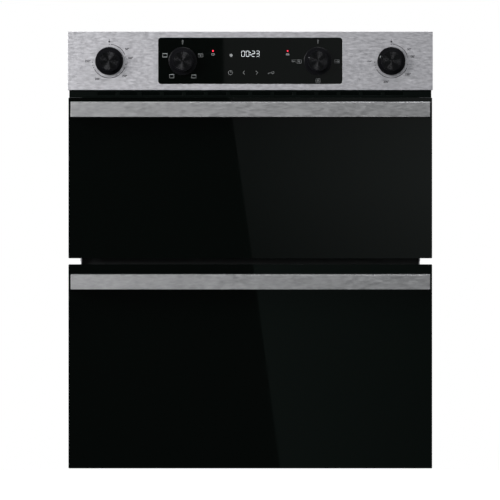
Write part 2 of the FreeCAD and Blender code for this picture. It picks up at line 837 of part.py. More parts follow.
def cooling_fan_housing():
    """A sheet duct, open towards the front, that the blower turns in."""
    body = new_body("cooling_fan_housing")
    reach = size("blower_radius") + BLOWER_GAP
    z, half = blower_axis_z(), HOUSING_HALF_LENGTH
    low, high = z - reach, z + reach
    front, back = BLOWER_Y - reach - 30.0, BLOWER_Y + reach
    wall = new_sketch(body, "YZ_Plane", (0, 0, -half))
    outline(wall, [
        (front, low - ENAMEL), (back + ENAMEL, low - ENAMEL), (back + ENAMEL, high + ENAMEL),
        (front, high + ENAMEL), (front, high), (back, high), (back, low), (front, low),
    ])
    pad(body, wall, 2 * half)
    for start in (-half - 1.0, half):
        end = new_sketch(body, "YZ_Plane", (0, 0, start))
        rectangle(end, (front, back + ENAMEL), (low - ENAMEL, high + ENAMEL))
        pad(body, end, 1.0)
        hole = new_sketch(body, "YZ_Plane", (0, 0, start + 1.0))
        circle(hole, (BLOWER_Y, z), BLOWER_SHAFT + size("running_gap") + 12.0)
        pocket(body, hole, 1.0)
    sub_part(body, "cooling_fan_housing")


def cooling_fan_rotor():
    """A long cage rotor on one shaft: end discs, and sixteen blades between them."""
    body = moved_body("cooling_fan_rotor", (0, BLOWER_Y, blower_axis_z()))
    half = size("blower_length") / 2
    disc_on(body, "YZ_Plane", -half - 10.0, 2 * half + 54.0, BLOWER_SHAFT)
    disc_on(body, "YZ_Plane", -half, 1.5, size("blower_radius"))
    disc_on(body, "YZ_Plane", half - 1.5, 1.5, size("blower_radius"))
    sketch = new_sketch(body, "YZ_Plane", (0, 0, -half))
    rectangle(sketch, (-0.5, 0.5), (size("blower_radius") - 9.0, size("blower_radius") - 0.5))
    blade = pad(body, sketch, 2 * half)
    polar_pattern(body, blade, 16, "X_Axis")
    sub_part(body, "cooling_fan_rotor")


BLOWER_MOTOR_GAP = 2.0
BLOWER_FOOT_X = (4.0, 38.0)
BLOWER_FOOT_HALF_Y = 30.0
BLOWER_FOOT_HEIGHT = 3.0
BLOWER_CORE_X = (8.0, 28.0)
BLOWER_CORE_HALF_Y = 26.0
BLOWER_CORE_RISE = 24.0
BLOWER_CAP_LENGTH = 36.0
BLOWER_CAP_RADIUS = 14.0


def cooling_fan_motor():
    """The blower's motor, on a foot that stands on the control shelf."""
    x = HOUSING_HALF_LENGTH + BLOWER_MOTOR_GAP
    y, z = BLOWER_Y, blower_axis_z()
    floor = SHELF_Z + SHEET
    foot_top = floor + BLOWER_FOOT_HEIGHT
    foot = box("blower_foot", (x + BLOWER_FOOT_X[0], x + BLOWER_FOOT_X[1]),
               (y - BLOWER_FOOT_HALF_Y, y + BLOWER_FOOT_HALF_Y), (floor, foot_top))
    core = box("blower_core", (x + BLOWER_CORE_X[0], x + BLOWER_CORE_X[1]),
               (y - BLOWER_CORE_HALF_Y, y + BLOWER_CORE_HALF_Y), (foot_top, z + BLOWER_CORE_RISE))
    cap = rod("blower_cap", (x, y, z), "x", BLOWER_CAP_LENGTH, BLOWER_CAP_RADIUS)
    bore = rod("blower_bore", (x, y, z), "x", BLOWER_CAP_LENGTH, BLOWER_SHAFT + size("running_gap"))
    solid = fuse("blower_block", [foot, core, cap])
    sub_part(cut("cooling_fan_motor", solid, [bore]), "cooling_fan_motor")


# ---- racks, shelves and tray ------------------------------------------------------------------

RUNGS = {"upper": 3, "lower": 4}
FIRST_RUNG = 36.0
RACK_FRONT = -196.0
RACK_BACK = 140.0
POST_YS = (-150.0, 100.0)
POST_X = 213.0
CLEAR = 0.3


def rung_z(level, index):
    return FLOORS[level] + FIRST_RUNG + size("rung_pitch") * index


def side_racks():
    """A chrome wire ladder on each side wall of both cavities, held by pins in the wall."""
    wire = size("rack_wire")
    racks = []
    for level in ("upper", "lower"):
        low = rung_z(level, 0) - 14.0
        high = rung_z(level, RUNGS[level] - 1) + 14.0
        pieces = [rod("post", (POST_X, y, low), "z", high - low, wire) for y in POST_YS]
        for index in range(RUNGS[level]):
            start = (size("rung_x"), RACK_FRONT, rung_z(level, index))
            pieces.append(rod("rung", start, "y", RACK_BACK - RACK_FRONT, wire))
        for y in POST_YS:
            for z in (low + 3.0, high - 3.0):
                pieces.append(rod("pin", (POST_X, y, z), "x", HALF_CAVITY - POST_X, wire))
        rack = fuse(f"{level}_rack", pieces)
        racks += [rack, mirror_x(f"{level}_rack_left", rack)]
    sub_part(group("racks", racks), "side_racks")


SHELF_WIRES = 15
SHELF_PITCH = 26.0
SHELF_FRONT = -190.0
SHELF_BACK = 145.0
SHELF_BEND = 14.0
THIN_WIRE = 1.5
THIN_WIRE_RISE = 1.0
CROSS_BAR_YS = (-80.0, 40.0)
CROSS_BAR_RADIUS = 2.0
CROSS_BAR_DROP = 1.5


def wire_shelf(level, rung):
    """A chrome wire shelf: a rod frame, thin wires front to back, and two cross bars."""
    wire = size("shelf_wire")
    half = size("shelf_half_width")
    z = rung_z(level, rung) + size("rack_wire") + wire + CLEAR
    bend = SHELF_BEND
    pieces = []
    for side in (-1, 1):
        start = (half * side, SHELF_FRONT + bend, z)
        pieces.append(rod("shelf_side", start, "y", SHELF_BACK - SHELF_FRONT - 2 * bend, wire))
    for y in (SHELF_FRONT, SHELF_BACK):
        pieces.append(rod("shelf_end", (-half + bend, y, z), "x", half * 2 - 2 * bend, wire))
    corners = ((1, SHELF_BACK, 0), (-1, SHELF_BACK, 90), (-1, SHELF_FRONT, 180), (1, SHELF_FRONT, 270))
    for side, y, turn in corners:
        inward = -bend if y == SHELF_BACK else bend
        centre = ((half - bend) * side, y + inward, z)
        rotation = FreeCAD.Rotation(Vector(0, 0, 1), turn)
        pieces.append(ring_piece("shelf_bend", centre, bend, wire, rotation, angle=90.0))
    for y in CROSS_BAR_YS:
        bar_start = (-half, y, z - CROSS_BAR_DROP)
        pieces.append(rod("shelf_bar", bar_start, "x", half * 2, CROSS_BAR_RADIUS))
    first = -SHELF_PITCH * (SHELF_WIRES - 1) / 2
    for index in range(SHELF_WIRES):
        start = (first + index * SHELF_PITCH, SHELF_FRONT, z + THIN_WIRE_RISE)
        pieces.append(rod("shelf_wire", start, "y", SHELF_BACK - SHELF_FRONT, THIN_WIRE))
    sub_part(fuse(f"{level}_shelf", pieces), f"{level}_shelf")


TRAY_DEPTH = 26.0
TRAY_RIM = 13.0
TRAY_SHEET = 1.0


def baking_tray():
    """An enamelled pan that hangs by its rim on the lowest rungs of the lower cavity."""
    body = new_body("baking_tray")
    top = rung_z("lower", 0) + size("rack_wire") + CLEAR + TRAY_SHEET
    half = POST_X - size("rack_wire") - 1.5
    middle_y = (SHELF_FRONT + SHELF_BACK) / 2
    half_y = (SHELF_BACK - SHELF_FRONT) / 2
    rim = new_sketch(body, "XY_Plane", (0, middle_y, top - TRAY_SHEET))
    rounded_rectangle(rim, (-half, half), (-half_y, half_y), 12.0)
    pad(body, rim, TRAY_SHEET)
    pan_x, pan_y = half - TRAY_RIM, half_y - TRAY_RIM
    pan = new_sketch(body, "XY_Plane", (0, middle_y, top - TRAY_DEPTH))
    rounded_rectangle(pan, (-pan_x, pan_x), (-pan_y, pan_y), 20.0)
    pad(body, pan, TRAY_DEPTH)
    inner_x, inner_y = pan_x - TRAY_SHEET, pan_y - TRAY_SHEET
    hollow = new_sketch(body, "XY_Plane", (0, middle_y, top))
    rounded_rectangle(hollow, (-inner_x, inner_x), (-inner_y, inner_y), 19.0)
    pocket(body, hollow, TRAY_DEPTH - TRAY_SHEET)
    sub_part(body, "baking_tray")


# ---- terminal box -----------------------------------------------------------------------------

TERMINAL_FRONT = 262.0
TERMINAL_WALL = 2.0
GLAND_LENGTH = 14.0


def terminal_box():
    """A moulded box in the rear panel's window, and its cover with the cable gland."""
    x_span = (TERMINAL_X[0] + PANEL_GAP, TERMINAL_X[1] - PANEL_GAP)
    z_span = (TERMINAL_Z[0] + PANEL_GAP, TERMINAL_Z[1] - PANEL_GAP)
    joint = BACK - 1.5
    shell = plate_xz("terminal_box", TERMINAL_FRONT, joint, x_span, z_span, 3.0)
    inside = new_sketch(shell, "XZ_Plane", (0, 0, -(TERMINAL_FRONT + TERMINAL_WALL)))
    rectangle(inside, (x_span[0] + TERMINAL_WALL, x_span[1] - TERMINAL_WALL),
              (z_span[0] + TERMINAL_WALL, z_span[1] - TERMINAL_WALL))
    pocket(shell, inside, joint - TERMINAL_FRONT - TERMINAL_WALL)
    sub_part(shell, "terminal_box")

    cover = plate_xz("terminal_cover", joint, BACK, x_span, z_span, 3.0)
    centre = ((x_span[0] + x_span[1]) / 2, (z_span[0] + z_span[1]) / 2)
    boss = new_sketch(cover, "XZ_Plane", (0, 0, -joint))
    circle(boss, centre, size("gland_radius") + 3.5)
    pad(cover, boss, GLAND_LENGTH - 1.5)
    bore = new_sketch(cover, "XZ_Plane", (0, 0, -(BACK - GLAND_LENGTH)))
    circle(bore, centre, size("gland_radius"))
    pocket(cover, bore, GLAND_LENGTH)
    sub_part(cover, "terminal_cover")


# ---- fascia -----------------------------------------------------------------------------------

FASCIA_Z = size("fascia_bottom")
TOP_Z = size("overall_height")
FASCIA_SHEET = size("fascia_sheet")
SPINDLE_HOLE = 5.0
INSERT_GAP = 0.2
LENS_RADIUS = 1.3
CARRIER_FRONT = -258.0
CARRIER_BACK = -244.0
CARRIER_WALL = 2.0


def insert_span():
    half = size("glass_insert_width") / 2
    low = size("glass_insert_bottom")
    return (-half, half), (low, low + size("glass_insert_height"))


def fascia_panel():
    """The steel front: a sheet with all four edges folded back, cut out for the glass."""
    body = new_body("fascia_panel")
    half = size("fascia_width") / 2
    sketch = new_sketch(body, "XZ_Plane", (0, 0, -CABINET))
    rectangle(sketch, (-half, half), (FASCIA_Z, TOP_Z))
    pad(body, sketch, CABINET - FRONT)
    inside = new_sketch(body, "XZ_Plane", (0, 0, -(FRONT + FASCIA_SHEET)))
    edge = half - FASCIA_SHEET
    rectangle(inside, (-edge, edge), (FASCIA_Z + FASCIA_SHEET, TOP_Z - FASCIA_SHEET))
    pocket(body, inside, CABINET - FRONT - FASCIA_SHEET)
    cut_out = new_sketch(body, "XZ_Plane", (0, 0, -FRONT))
    (left, right), (low, high) = insert_span()
    gap = INSERT_GAP
    rounded_rectangle(cut_out, (left - gap, right + gap), (low - gap, high + gap),
                      size("glass_insert_corner") + gap)
    for side in (-1, 1):
        circle(cut_out, (size("outer_knob_x") * side, KNOB_Z), SPINDLE_HOLE)
    pocket(body, cut_out, FASCIA_SHEET)
    sub_part(body, "fascia_panel")


def fascia_glass():
    """The black glass insert, drilled for two spindles and two indicator lenses."""
    body = new_body("fascia_glass")
    x_span, z_span = insert_span()
    sketch = new_sketch(body, "XZ_Plane", (0, 0, -(FRONT - 0.2 + size("insert_thickness"))))
    rounded_rectangle(sketch, x_span, z_span, size("glass_insert_corner"))
    for side in (-1, 1):
        circle(sketch, (size("inner_knob_x") * side, KNOB_Z), SPINDLE_HOLE)
        circle(sketch, (size("lamp_x") * side, size("lamp_z")), LENS_RADIUS + 0.1)
    pad(body, sketch, size("insert_thickness"))
    sub_part(body, "fascia_glass")


def indicator_lenses():
    """Two round lenses, one for each oven's heating light."""
    length = CARRIER_FRONT - (FRONT - 0.5)
    lenses = [
        rod("lens", (size("lamp_x") * side, FRONT - 0.5, size("lamp_z")), "y", length, LENS_RADIUS)
        for side in (-1, 1)
    ]
    sub_part(group("lenses", lenses), "indicator_lenses")


TIMER_HALF_WIDTH = 40.0
TIMER_Z = (638.0, 694.0)
TIMER_FRONT = -261.0
TIMER_BACK = -232.0
TIMER_WALL = 2.0
TIMER_HOLLOW = 20.0


def fascia_carrier():
    """The moulding behind the fascia that holds the timer and the switches."""
    half = size("fascia_width") / 2 - 7.0
    z_span = (FASCIA_Z + 4.0, TOP_Z - 6.0)
    body = plate_xz("fascia_carrier", CARRIER_FRONT, CARRIER_BACK, (-half, half), z_span)
    inside = new_sketch(body, "XZ_Plane", (0, 0, -(CARRIER_FRONT + CARRIER_WALL)))
    rectangle(inside, (-half + CARRIER_WALL, half - CARRIER_WALL),
              (z_span[0] + CARRIER_WALL, z_span[1] - CARRIER_WALL))
    pocket(body, inside, CARRIER_BACK - CARRIER_FRONT - CARRIER_WALL)
    holes = new_sketch(body, "XZ_Plane", (0, 0, -CARRIER_FRONT))
    for x in KNOBS.values():
        circle(holes, (x, KNOB_Z), SPINDLE_HOLE)
    rectangle(holes, (-TIMER_HALF_WIDTH - 0.2, TIMER_HALF_WIDTH + 0.2),
              (TIMER_Z[0] - 0.2, TIMER_Z[1] + 0.2))
    pocket(body, holes, CARRIER_WALL)
    sub_part(body, "fascia_carrier")


def timer_module():
    """The clock's housing, clipped into the carrier, with its rear open."""
    x_span = (-TIMER_HALF_WIDTH, TIMER_HALF_WIDTH)
    body = plate_xz("timer_module", TIMER_FRONT, TIMER_BACK, x_span, TIMER_Z)
    inside = new_sketch(body, "XZ_Plane", (0, 0, TIMER_HOLLOW - TIMER_BACK))
    rectangle(inside, (x_span[0] + TIMER_WALL, x_span[1] - TIMER_WALL),
              (TIMER_Z[0] + TIMER_WALL, TIMER_Z[1] - TIMER_WALL))
    pocket(body, inside, TIMER_HOLLOW)
    sub_part(body, "timer_module")


SWITCH_SIDE = 36.0
SWITCH_BACK = -226.0
SPINDLE_END = -236.0


def control_switches():
    """Four rotary switches behind the carrier, each bored for its spindle."""
    front = CARRIER_FRONT + CARRIER_WALL
    switches = []
    for label, x in KNOBS.items():
        half = SWITCH_SIDE / 2
        body = plate_xz(f"{label}_switch", front, SWITCH_BACK, (x - half, x + half),
                        (KNOB_Z - half, KNOB_Z + half), 3.0)
        bore = new_sketch(body, "XZ_Plane", (0, 0, -front))
        circle(bore, (x, KNOB_Z), size("spindle_radius") + size("running_gap"))
        pocket(body, bore, SPINDLE_END + 2.0 - front)
        switches.append(body)
    sub_part(group("switches", switches), "control_switches")


VENT_FRONT = -262.0
VENT_BACK = -241.6
VENT_RIM = 3.0
OUTLET_COUNT = 14
OUTLET_PITCH = 36.0
OUTLET_WIDTH = 30.0


def vent_trim():
    """The black air outlet under the fascia: a bar with a row of wide, low slots through it."""
    body = new_body("vent_trim")
    half = size("vent_width") / 2
    low, high = size("vent_bottom") + 0.3, FASCIA_Z - 0.1
    sketch = new_sketch(body, "XZ_Plane", (0, 0, -VENT_BACK))
    rectangle(sketch, (-half, half), (low, high))
    pad(body, sketch, VENT_BACK - VENT_FRONT)
    slot = new_sketch(body, "XZ_Plane", (0, 0, -VENT_FRONT))
    first = -OUTLET_PITCH * (OUTLET_COUNT - 1) / 2 - OUTLET_WIDTH / 2
    rectangle(slot, (first, first + OUTLET_WIDTH), (low + VENT_RIM, high - VENT_RIM))
    first_slot = pocket(body, slot, VENT_BACK - VENT_FRONT)
    linear_pattern(body, first_slot, OUTLET_COUNT, OUTLET_PITCH * (OUTLET_COUNT - 1))
    sub_part(body, "vent_trim")


# ---- knobs ------------------------------------------------------------------------------------

KNOB_REAR = -264.8
KNOB_FLANGE = 3.0
BARREL_RADIUS = 16.4
SPINDLE_DEPTH = 15.0


def knob(label, x):
    """A knob turned about its spindle: wide skirt, barrel, and a slightly sunk round face."""
    body = moved_body(f"{label}_knob", (x, KNOB_REAR, KNOB_Z))
    length = size("knob_length")
    sketch = new_sketch(body, "XY_Plane")
    radius = size("knob_radius")
    face = size("knob_face_radius")
    bore = size("spindle_radius")
    outline(sketch, [
        (bore, 0), (radius, 0), (radius, -KNOB_FLANGE), (radius - 1.0, -KNOB_FLANGE - 1.0),
        (BARREL_RADIUS + 0.8, -KNOB_FLANGE - 2.0), (BARREL_RADIUS, -length + 1.2),
        (BARREL_RADIUS - 1.2, -length), (face, -length), (face, -length + 0.6), (0, -length + 0.6),
        (0, -SPINDLE_DEPTH), (bore, -SPINDLE_DEPTH),
    ])
    revolve(body, sketch)
    sub_part(body, f"{label}_knob")
    spindle = rod(f"{label}_spindle", (x, KNOB_REAR - SPINDLE_DEPTH, KNOB_Z), "y",
                  SPINDLE_END - KNOB_REAR + SPINDLE_DEPTH, bore)
    sub_part(spindle, f"{label}_spindle")


# ---- doors --------------------------------------------------------------------------------------

CHANNEL_WEB = 1.5
CHANNEL_SIDE = 1.2
CHANNEL_X = (244.0, 262.2)
CHANNEL_LIFT = 6.0
TOP_PROFILE_HEIGHT = 24.0
RAIL_TOP = 20.0
HINGE_SHEET = 1.5
HINGE_CHEEKS = ((247.0, 248.5), (257.5, 259.0))
HINGE_HEIGHT = 130.0


def door_glass(level, low, high):
    """The dark outer pane, and the clear inner pane held in the door frame."""
    half = size("door_width") / 2
    front = plate_xz(f"{level}_outer_glass", FRONT, FRONT + size("door_glass"), (-half, half),
                     (low, high), size("door_corner"))
    sub_part(front, f"{level}_outer_glass")
    inner_face = FRONT + size("door_depth")
    half = CHANNEL_X[0] - 0.5
    span = (pivot_z(level) + RAIL_TOP, high - TOP_PROFILE_HEIGHT)
    pane = plate_xz(f"{level}_inner_glass", inner_face - size("door_glass"), inner_face,
                    (-half, half), span)
    sub_part(pane, f"{level}_inner_glass")


def door_frame(level, low, high):
    """Two folded side channels, closed at the back above the hinges, and a bottom rail."""
    web_front = FRONT + size("door_glass")
    back = FRONT + size("door_depth")
    bottom = low + CHANNEL_LIFT
    top = high - TOP_PROFILE_HEIGHT
    inner, outer = CHANNEL_X
    rail = new_body(f"{level}_bottom_rail")
    rail_high = pivot_z(level) + RAIL_TOP
    section = new_sketch(rail, "YZ_Plane", (0, 0, -inner))
    outline(section, [
        (web_front, bottom), (back, bottom), (back, rail_high), (web_front, rail_high),
        (web_front, rail_high - CHANNEL_SIDE), (back - CHANNEL_SIDE, rail_high - CHANNEL_SIDE),
        (back - CHANNEL_SIDE, bottom + CHANNEL_SIDE), (web_front, bottom + CHANNEL_SIDE),
    ])
    pad(rail, section, 2 * inner)

    channel = new_body(f"{level}_side_channel")
    folds = new_sketch(channel, "XY_Plane", (0, 0, bottom))
    outline(folds, [
        (inner, web_front), (outer, web_front), (outer, back), (outer - CHANNEL_SIDE, back),
        (outer - CHANNEL_SIDE, web_front + CHANNEL_WEB),
        (inner + CHANNEL_SIDE, web_front + CHANNEL_WEB), (inner + CHANNEL_SIDE, back),
        (inner, back),
    ])
    pad(channel, folds, top - bottom)
    closing = new_sketch(channel, "XZ_Plane", (0, 0, -back))
    rectangle(closing, (inner, outer), (rail_high + 8.0, top))
    pad(channel, closing, CHANNEL_SIDE)
    channels = both_sides(f"{level}_side_channels", channel)
    sub_part(group(f"{level}_frame", [rail, channels]), f"{level}_door_frame")


def top_profile(level, high):
    """The moulded bar across the top of the door, with a row of cooling slots in its top."""
    body = new_body(f"{level}_top_profile")
    web_front = FRONT + size("door_glass")
    back = FRONT + size("door_depth")
    half = size("door_inside_width") / 2
    low, top = high - TOP_PROFILE_HEIGHT, high - 4.0
    wall = 2.0
    sketch = new_sketch(body, "YZ_Plane", (0, 0, -half))
    outline(sketch, [
        (web_front, low), (web_front + wall, low), (web_front + wall, top - wall),
        (back - wall, top - wall), (back - wall, low), (back, low), (back, top), (web_front, top),
    ])
    pad(body, sketch, 2 * half)
    slots, pitch, width, depth = 12, 40.0, 26.0, 3.2
    slot = new_sketch(body, "XY_Plane", (0, 0, top))
    first = -pitch * (slots - 1) / 2 - width / 2
    slot_front = web_front + 13.4
    rectangle(slot, (first, first + width), (slot_front, slot_front + depth))
    first_slot = pocket(body, slot, wall)
    linear_pattern(body, first_slot, slots, pitch * (slots - 1))
    channel_inside = CHANNEL_X[0]
    for end in (-channel_inside - wall, channel_inside):
        closing = new_sketch(body, "YZ_Plane", (0, 0, end))
        rectangle(closing, (web_front, back), (low, top))
        pad(body, closing, wall)
    sub_part(body, f"{level}_top_profile")


def handle(level, high):
    """A hollow flat bar with a small bevel along its top, and a cap with a foot at each end."""
    top = high - size(f"{level}_handle_drop")
    bottom = top - size("handle_height")
    front = FRONT - size("handle_reach")
    back = front + size("handle_thickness")
    wall, bevel = size("handle_wall"), size("handle_bevel")
    half = size("handle_width") / 2
    body = new_body(f"{level}_handle_bar")
    sketch = new_sketch(body, "YZ_Plane", (0, 0, -half))
    outline(sketch, [
        (front, bottom), (back, bottom), (back, top), (front + bevel, top), (front, top - bevel)])
    rectangle(sketch, (front + wall, back - wall), (bottom + wall, top - wall - bevel / 2))
    pad(body, sketch, half * 2)
    sub_part(body, f"{level}_handle_bar")

    cap = new_body(f"{level}_handle_cap")
    side = new_sketch(cap, "YZ_Plane", (0, 0, half))
    outline(side, [
        (front, bottom), (FRONT, bottom), (FRONT, top), (front + bevel, top),
        (front, top - bevel)])
    pad(cap, side, size("handle_cap"))
    foot = new_sketch(cap, "YZ_Plane", (0, 0, half - size("handle_foot")))
    rectangle(foot, (back + 0.1, FRONT), (bottom + 2.5, top - 2.5))
    pad(cap, foot, size("handle_foot"))
    sub_part(both_sides(f"{level}_caps", cap), f"{level}_handle_end_caps")


def hinge_bodies(level):
    """Both hinge bodies: two steel cheeks on a web, with the pin between the cheeks."""
    web_front = FRONT + size("door_glass") + CHANNEL_WEB
    back = web_front + 21.0
    bottom = pivot_z(level) - 6.0
    inner, outer = HINGE_CHEEKS[0][0], HINGE_CHEEKS[1][1]
    pieces = [box("hinge_web", (inner, outer), (web_front, web_front + HINGE_SHEET),
                  (bottom, bottom + HINGE_HEIGHT))]
    for cheek in HINGE_CHEEKS:
        pieces.append(box("hinge_cheek", cheek, (web_front, back), (bottom, bottom + HINGE_HEIGHT)))
    pieces.append(rod("hinge_pin", (inner, PIVOT_Y, pivot_z(level)), "x", outer - inner,
                      size("pin_radius")))
    sub_part(both_sides(f"{level}_hinges", fuse("hinge_body", pieces)), f"{level}_hinge_bodies")


def door(level):
    low = DOOR_BOTTOMS[level]
    high = low + DOOR_HEIGHTS[level]
    door_glass(level, low, high)
    door_frame(level, low, high)
    top_profile(level, high)
    handle(level, high)
    hinge_bodies(level)


ARM_REACH = 20.0
PLATE_THICKNESS = 2.0


def hinge_arms():
    """Four fixed arms: each comes out of the front frame and carries a hinge pin at its tip."""
    arms = []
    x = size("hinge_x")
    for level in ("upper", "lower"):
        z = pivot_z(level)
        body = new_body(f"{level}_hinge_arm")
        blade = new_sketch(body, "YZ_Plane", (0, 0, x - ARM_HALF_WIDTH))
        rear = FRAME_BACK + ARM_REACH
        outline(blade, [
            (PIVOT_Y, z - ARM_END_RADIUS), (rear, z - ARM_END_RADIUS), (rear, z + ARM_TOP),
            (FRAME_FRONT - 6.0, z + ARM_TOP), (PIVOT_Y, z + ARM_END_RADIUS),
        ])
        pad(body, blade, 2 * ARM_HALF_WIDTH)
        tip = new_sketch(body, "YZ_Plane", (0, 0, x - ARM_HALF_WIDTH))
        circle(tip, (PIVOT_Y, z), ARM_END_RADIUS)
        pad(body, tip, 2 * ARM_HALF_WIDTH)
        plate = new_sketch(body, "XZ_Plane", (0, 0, -(FRAME_BACK + PLATE_THICKNESS)))
        rectangle(plate, (x - 7.0, x + 11.0), (z - ARM_END_RADIUS - 2.0, z + ARM_TOP + 10.0))
        pad(body, plate, PLATE_THICKNESS)
        bore = new_sketch(body, "YZ_Plane", (0, 0, x + ARM_HALF_WIDTH))
        circle(bore, (PIVOT_Y, z), size("pin_radius") + size("running_gap"))
        pocket(body, bore, 2 * ARM_HALF_WIDTH)
        arms += [body, mirror_x(f"{level}_hinge_arm_left", body)]
    sub_part(group("arms", arms), "hinge_arms")


# ---- the whole oven -------------------------------------------------------------------------------

def build():
    casing()
    front_frame()
    for level in ("upper", "lower"):
        cavity(level)
        insulation(level)
        gasket(level)
        grill_element(level)
        door(level)
    hinge_arms()
    oven_lamps()
    ring_element()
    fan_cover()
    convection_fan()
    convection_motor()
    cooling_fan_housing()
    cooling_fan_rotor()
    cooling_fan_motor()
    side_racks()
    wire_shelf("upper", 1)
    wire_shelf("lower", 2)
    baking_tray()
    terminal_box()
    fascia_panel()
    fascia_glass()
    indicator_lenses()
    fascia_carrier()
    timer_module()
    control_switches()
    vent_trim()
    for label, x in KNOBS.items():
        knob(label, x)


def check_model():
    doc.recompute()
    for item in doc.Objects:
        if "Invalid" in item.State or "Error" in item.State:
            raise ValueError(f"{item.Name} failed: {item.State}")
    for piece in SUB_PARTS:
        if piece.Shape.isNull() or not piece.Shape.isValid():
            raise ValueError(f"{piece.Label} has no valid shape")


def export_parts():
    os.makedirs("parts", exist_ok=True)
    for piece in SUB_PARTS:
        piece.Shape.exportStep(f"parts/{piece.Label}.step")
        print(piece.Label, len(piece.Shape.Solids), round(piece.Shape.Volume, 1))


build()
check_model()
export_parts()
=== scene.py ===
import json
import math

import bmesh
import bpy
from mathutils import Matrix, Vector

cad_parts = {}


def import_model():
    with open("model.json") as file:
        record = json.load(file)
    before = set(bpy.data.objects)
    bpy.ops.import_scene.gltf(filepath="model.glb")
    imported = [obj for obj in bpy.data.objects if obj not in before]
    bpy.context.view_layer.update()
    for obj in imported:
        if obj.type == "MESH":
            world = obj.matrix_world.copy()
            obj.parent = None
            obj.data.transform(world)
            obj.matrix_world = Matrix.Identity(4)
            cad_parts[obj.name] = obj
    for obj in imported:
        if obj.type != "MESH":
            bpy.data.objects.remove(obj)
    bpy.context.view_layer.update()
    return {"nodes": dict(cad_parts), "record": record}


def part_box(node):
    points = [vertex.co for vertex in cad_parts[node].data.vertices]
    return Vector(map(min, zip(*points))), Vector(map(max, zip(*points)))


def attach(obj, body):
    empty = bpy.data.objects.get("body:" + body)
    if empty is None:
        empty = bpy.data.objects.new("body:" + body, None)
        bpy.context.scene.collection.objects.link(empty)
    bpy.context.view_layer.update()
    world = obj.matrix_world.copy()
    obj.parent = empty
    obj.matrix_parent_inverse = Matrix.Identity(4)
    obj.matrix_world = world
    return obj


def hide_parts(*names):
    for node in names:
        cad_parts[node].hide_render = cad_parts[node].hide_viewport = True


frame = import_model()
NODES = frame["nodes"]
MM = 0.001

# ---- places taken from the frame ----------------------------------------------------------

STEEL_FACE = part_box("fascia_panel")[0].y
GLASS_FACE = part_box("fascia_glass")[0].y
LEVELS = ("upper", "lower")
CONTROLS = ("upper_temperature", "upper_function", "lower_function", "lower_temperature")


def node_centre(node):
    low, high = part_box(node)
    return (low + high) / 2


KNOB_CENTRES = {name: node_centre(f"{name}_knob") for name in CONTROLS}


# ---- materials ------------------------------------------------------------------------------

class Finish:
    """A node material under construction: one Principled shader and what feeds it."""

    def __init__(self, name, **settings):
        self.material = bpy.data.materials.new(name)
        self.material.use_nodes = True
        self.tree = self.material.node_tree
        self.shader = self.tree.nodes["Principled BSDF"]
        for socket, value in settings.items():
            self.shader.inputs[socket.replace("_", " ")].default_value = value

    def node(self, kind, **properties):
        made = self.tree.nodes.new(kind)
        for key, value in properties.items():
            setattr(made, key, value)
        return made

    def link(self, source, target):
        self.tree.links.new(source, target)

    def place(self, stretch):
        """Object coordinates, in metres times the stretch on each axis."""
        coordinates = self.node("ShaderNodeTexCoord")
        mapping = self.node("ShaderNodeMapping")
        mapping.inputs["Scale"].default_value = stretch
        self.link(coordinates.outputs["Object"], mapping.inputs["Vector"])
        return mapping.outputs["Vector"]

    def noise(self, stretch, detail=3.0, roughness=0.55, distortion=0.0):
        texture = self.node("ShaderNodeTexNoise")
        texture.inputs["Scale"].default_value = 1.0
        texture.inputs["Detail"].default_value = detail
        texture.inputs["Roughness"].default_value = roughness
        texture.inputs["Distortion"].default_value = distortion
        self.link(self.place(stretch), texture.inputs["Vector"])
        return texture.outputs["Fac"]

    def cells(self, stretch, output="Color"):
        texture = self.node("ShaderNodeTexVoronoi")
        texture.inputs["Scale"].default_value = 1.0
        self.link(self.place(stretch), texture.inputs["Vector"])
        return texture.outputs[output]

    def span(self, value, low, high, start=0.0, end=1.0):
        """Maps a value from start..end to low..high."""
        ranged = self.node("ShaderNodeMapRange")
        ranged.inputs["From Min"].default_value = start
        ranged.inputs["From Max"].default_value = end
        ranged.inputs["To Min"].default_value = low
        ranged.inputs["To Max"].default_value = high
        self.link(value, ranged.inputs["Value"])
        return ranged.outputs["Result"]

    def colours(self, value, stops):
        ramp = self.node("ShaderNodeValToRGB")
        elements = ramp.color_ramp.elements
        while len(elements) < len(stops):
            elements.new(0.5)
        for element, (position, colour) in zip(elements, stops):
            element.position = position
            element.color = (*colour, 1.0)
        self.link(value, ramp.inputs["Fac"])
        return ramp.outputs["Color"]

    def base(self, value):
        self.link(value, self.shader.inputs["Base Color"])
        return self

    def rough(self, value):
        self.link(value, self.shader.inputs["Roughness"])
        return self

    def bump(self, height, distance, strength=1.0):
        bump = self.node("ShaderNodeBump")
        bump.inputs["Strength"].default_value = strength
        bump.inputs["Distance"].default_value = distance
        self.link(height, bump.inputs["Height"])
        previous = self.shader.inputs["Normal"]
        if previous.is_linked:
            self.link(previous.links[0].from_socket, bump.inputs["Normal"])
        self.link(bump.outputs["Normal"], previous)
        return self


def brushed(name, dark, light, streak):
    """Metal with a fine horizontal grain: long thin streaks in colour, gloss and height."""
    finish = Finish(name, Metallic=1.0)
    grain = finish.noise((streak, 2600.0, 2600.0), detail=4.0, roughness=0.65)
    broad = finish.noise((streak, 330.0, 330.0), detail=2.5, distortion=0.4)
    both = finish.node("ShaderNodeMix", data_type="FLOAT")
    both.inputs[0].default_value = 0.62
    finish.link(grain, both.inputs[2])
    finish.link(broad, both.inputs[3])
    value = both.outputs[0]
    finish.base(finish.colours(value, [(0.30, dark), (0.70, light)]))
    finish.rough(finish.span(value, 0.34, 0.46, 0.3, 0.7))
    return finish.bump(grain, 0.00004, 0.5).material


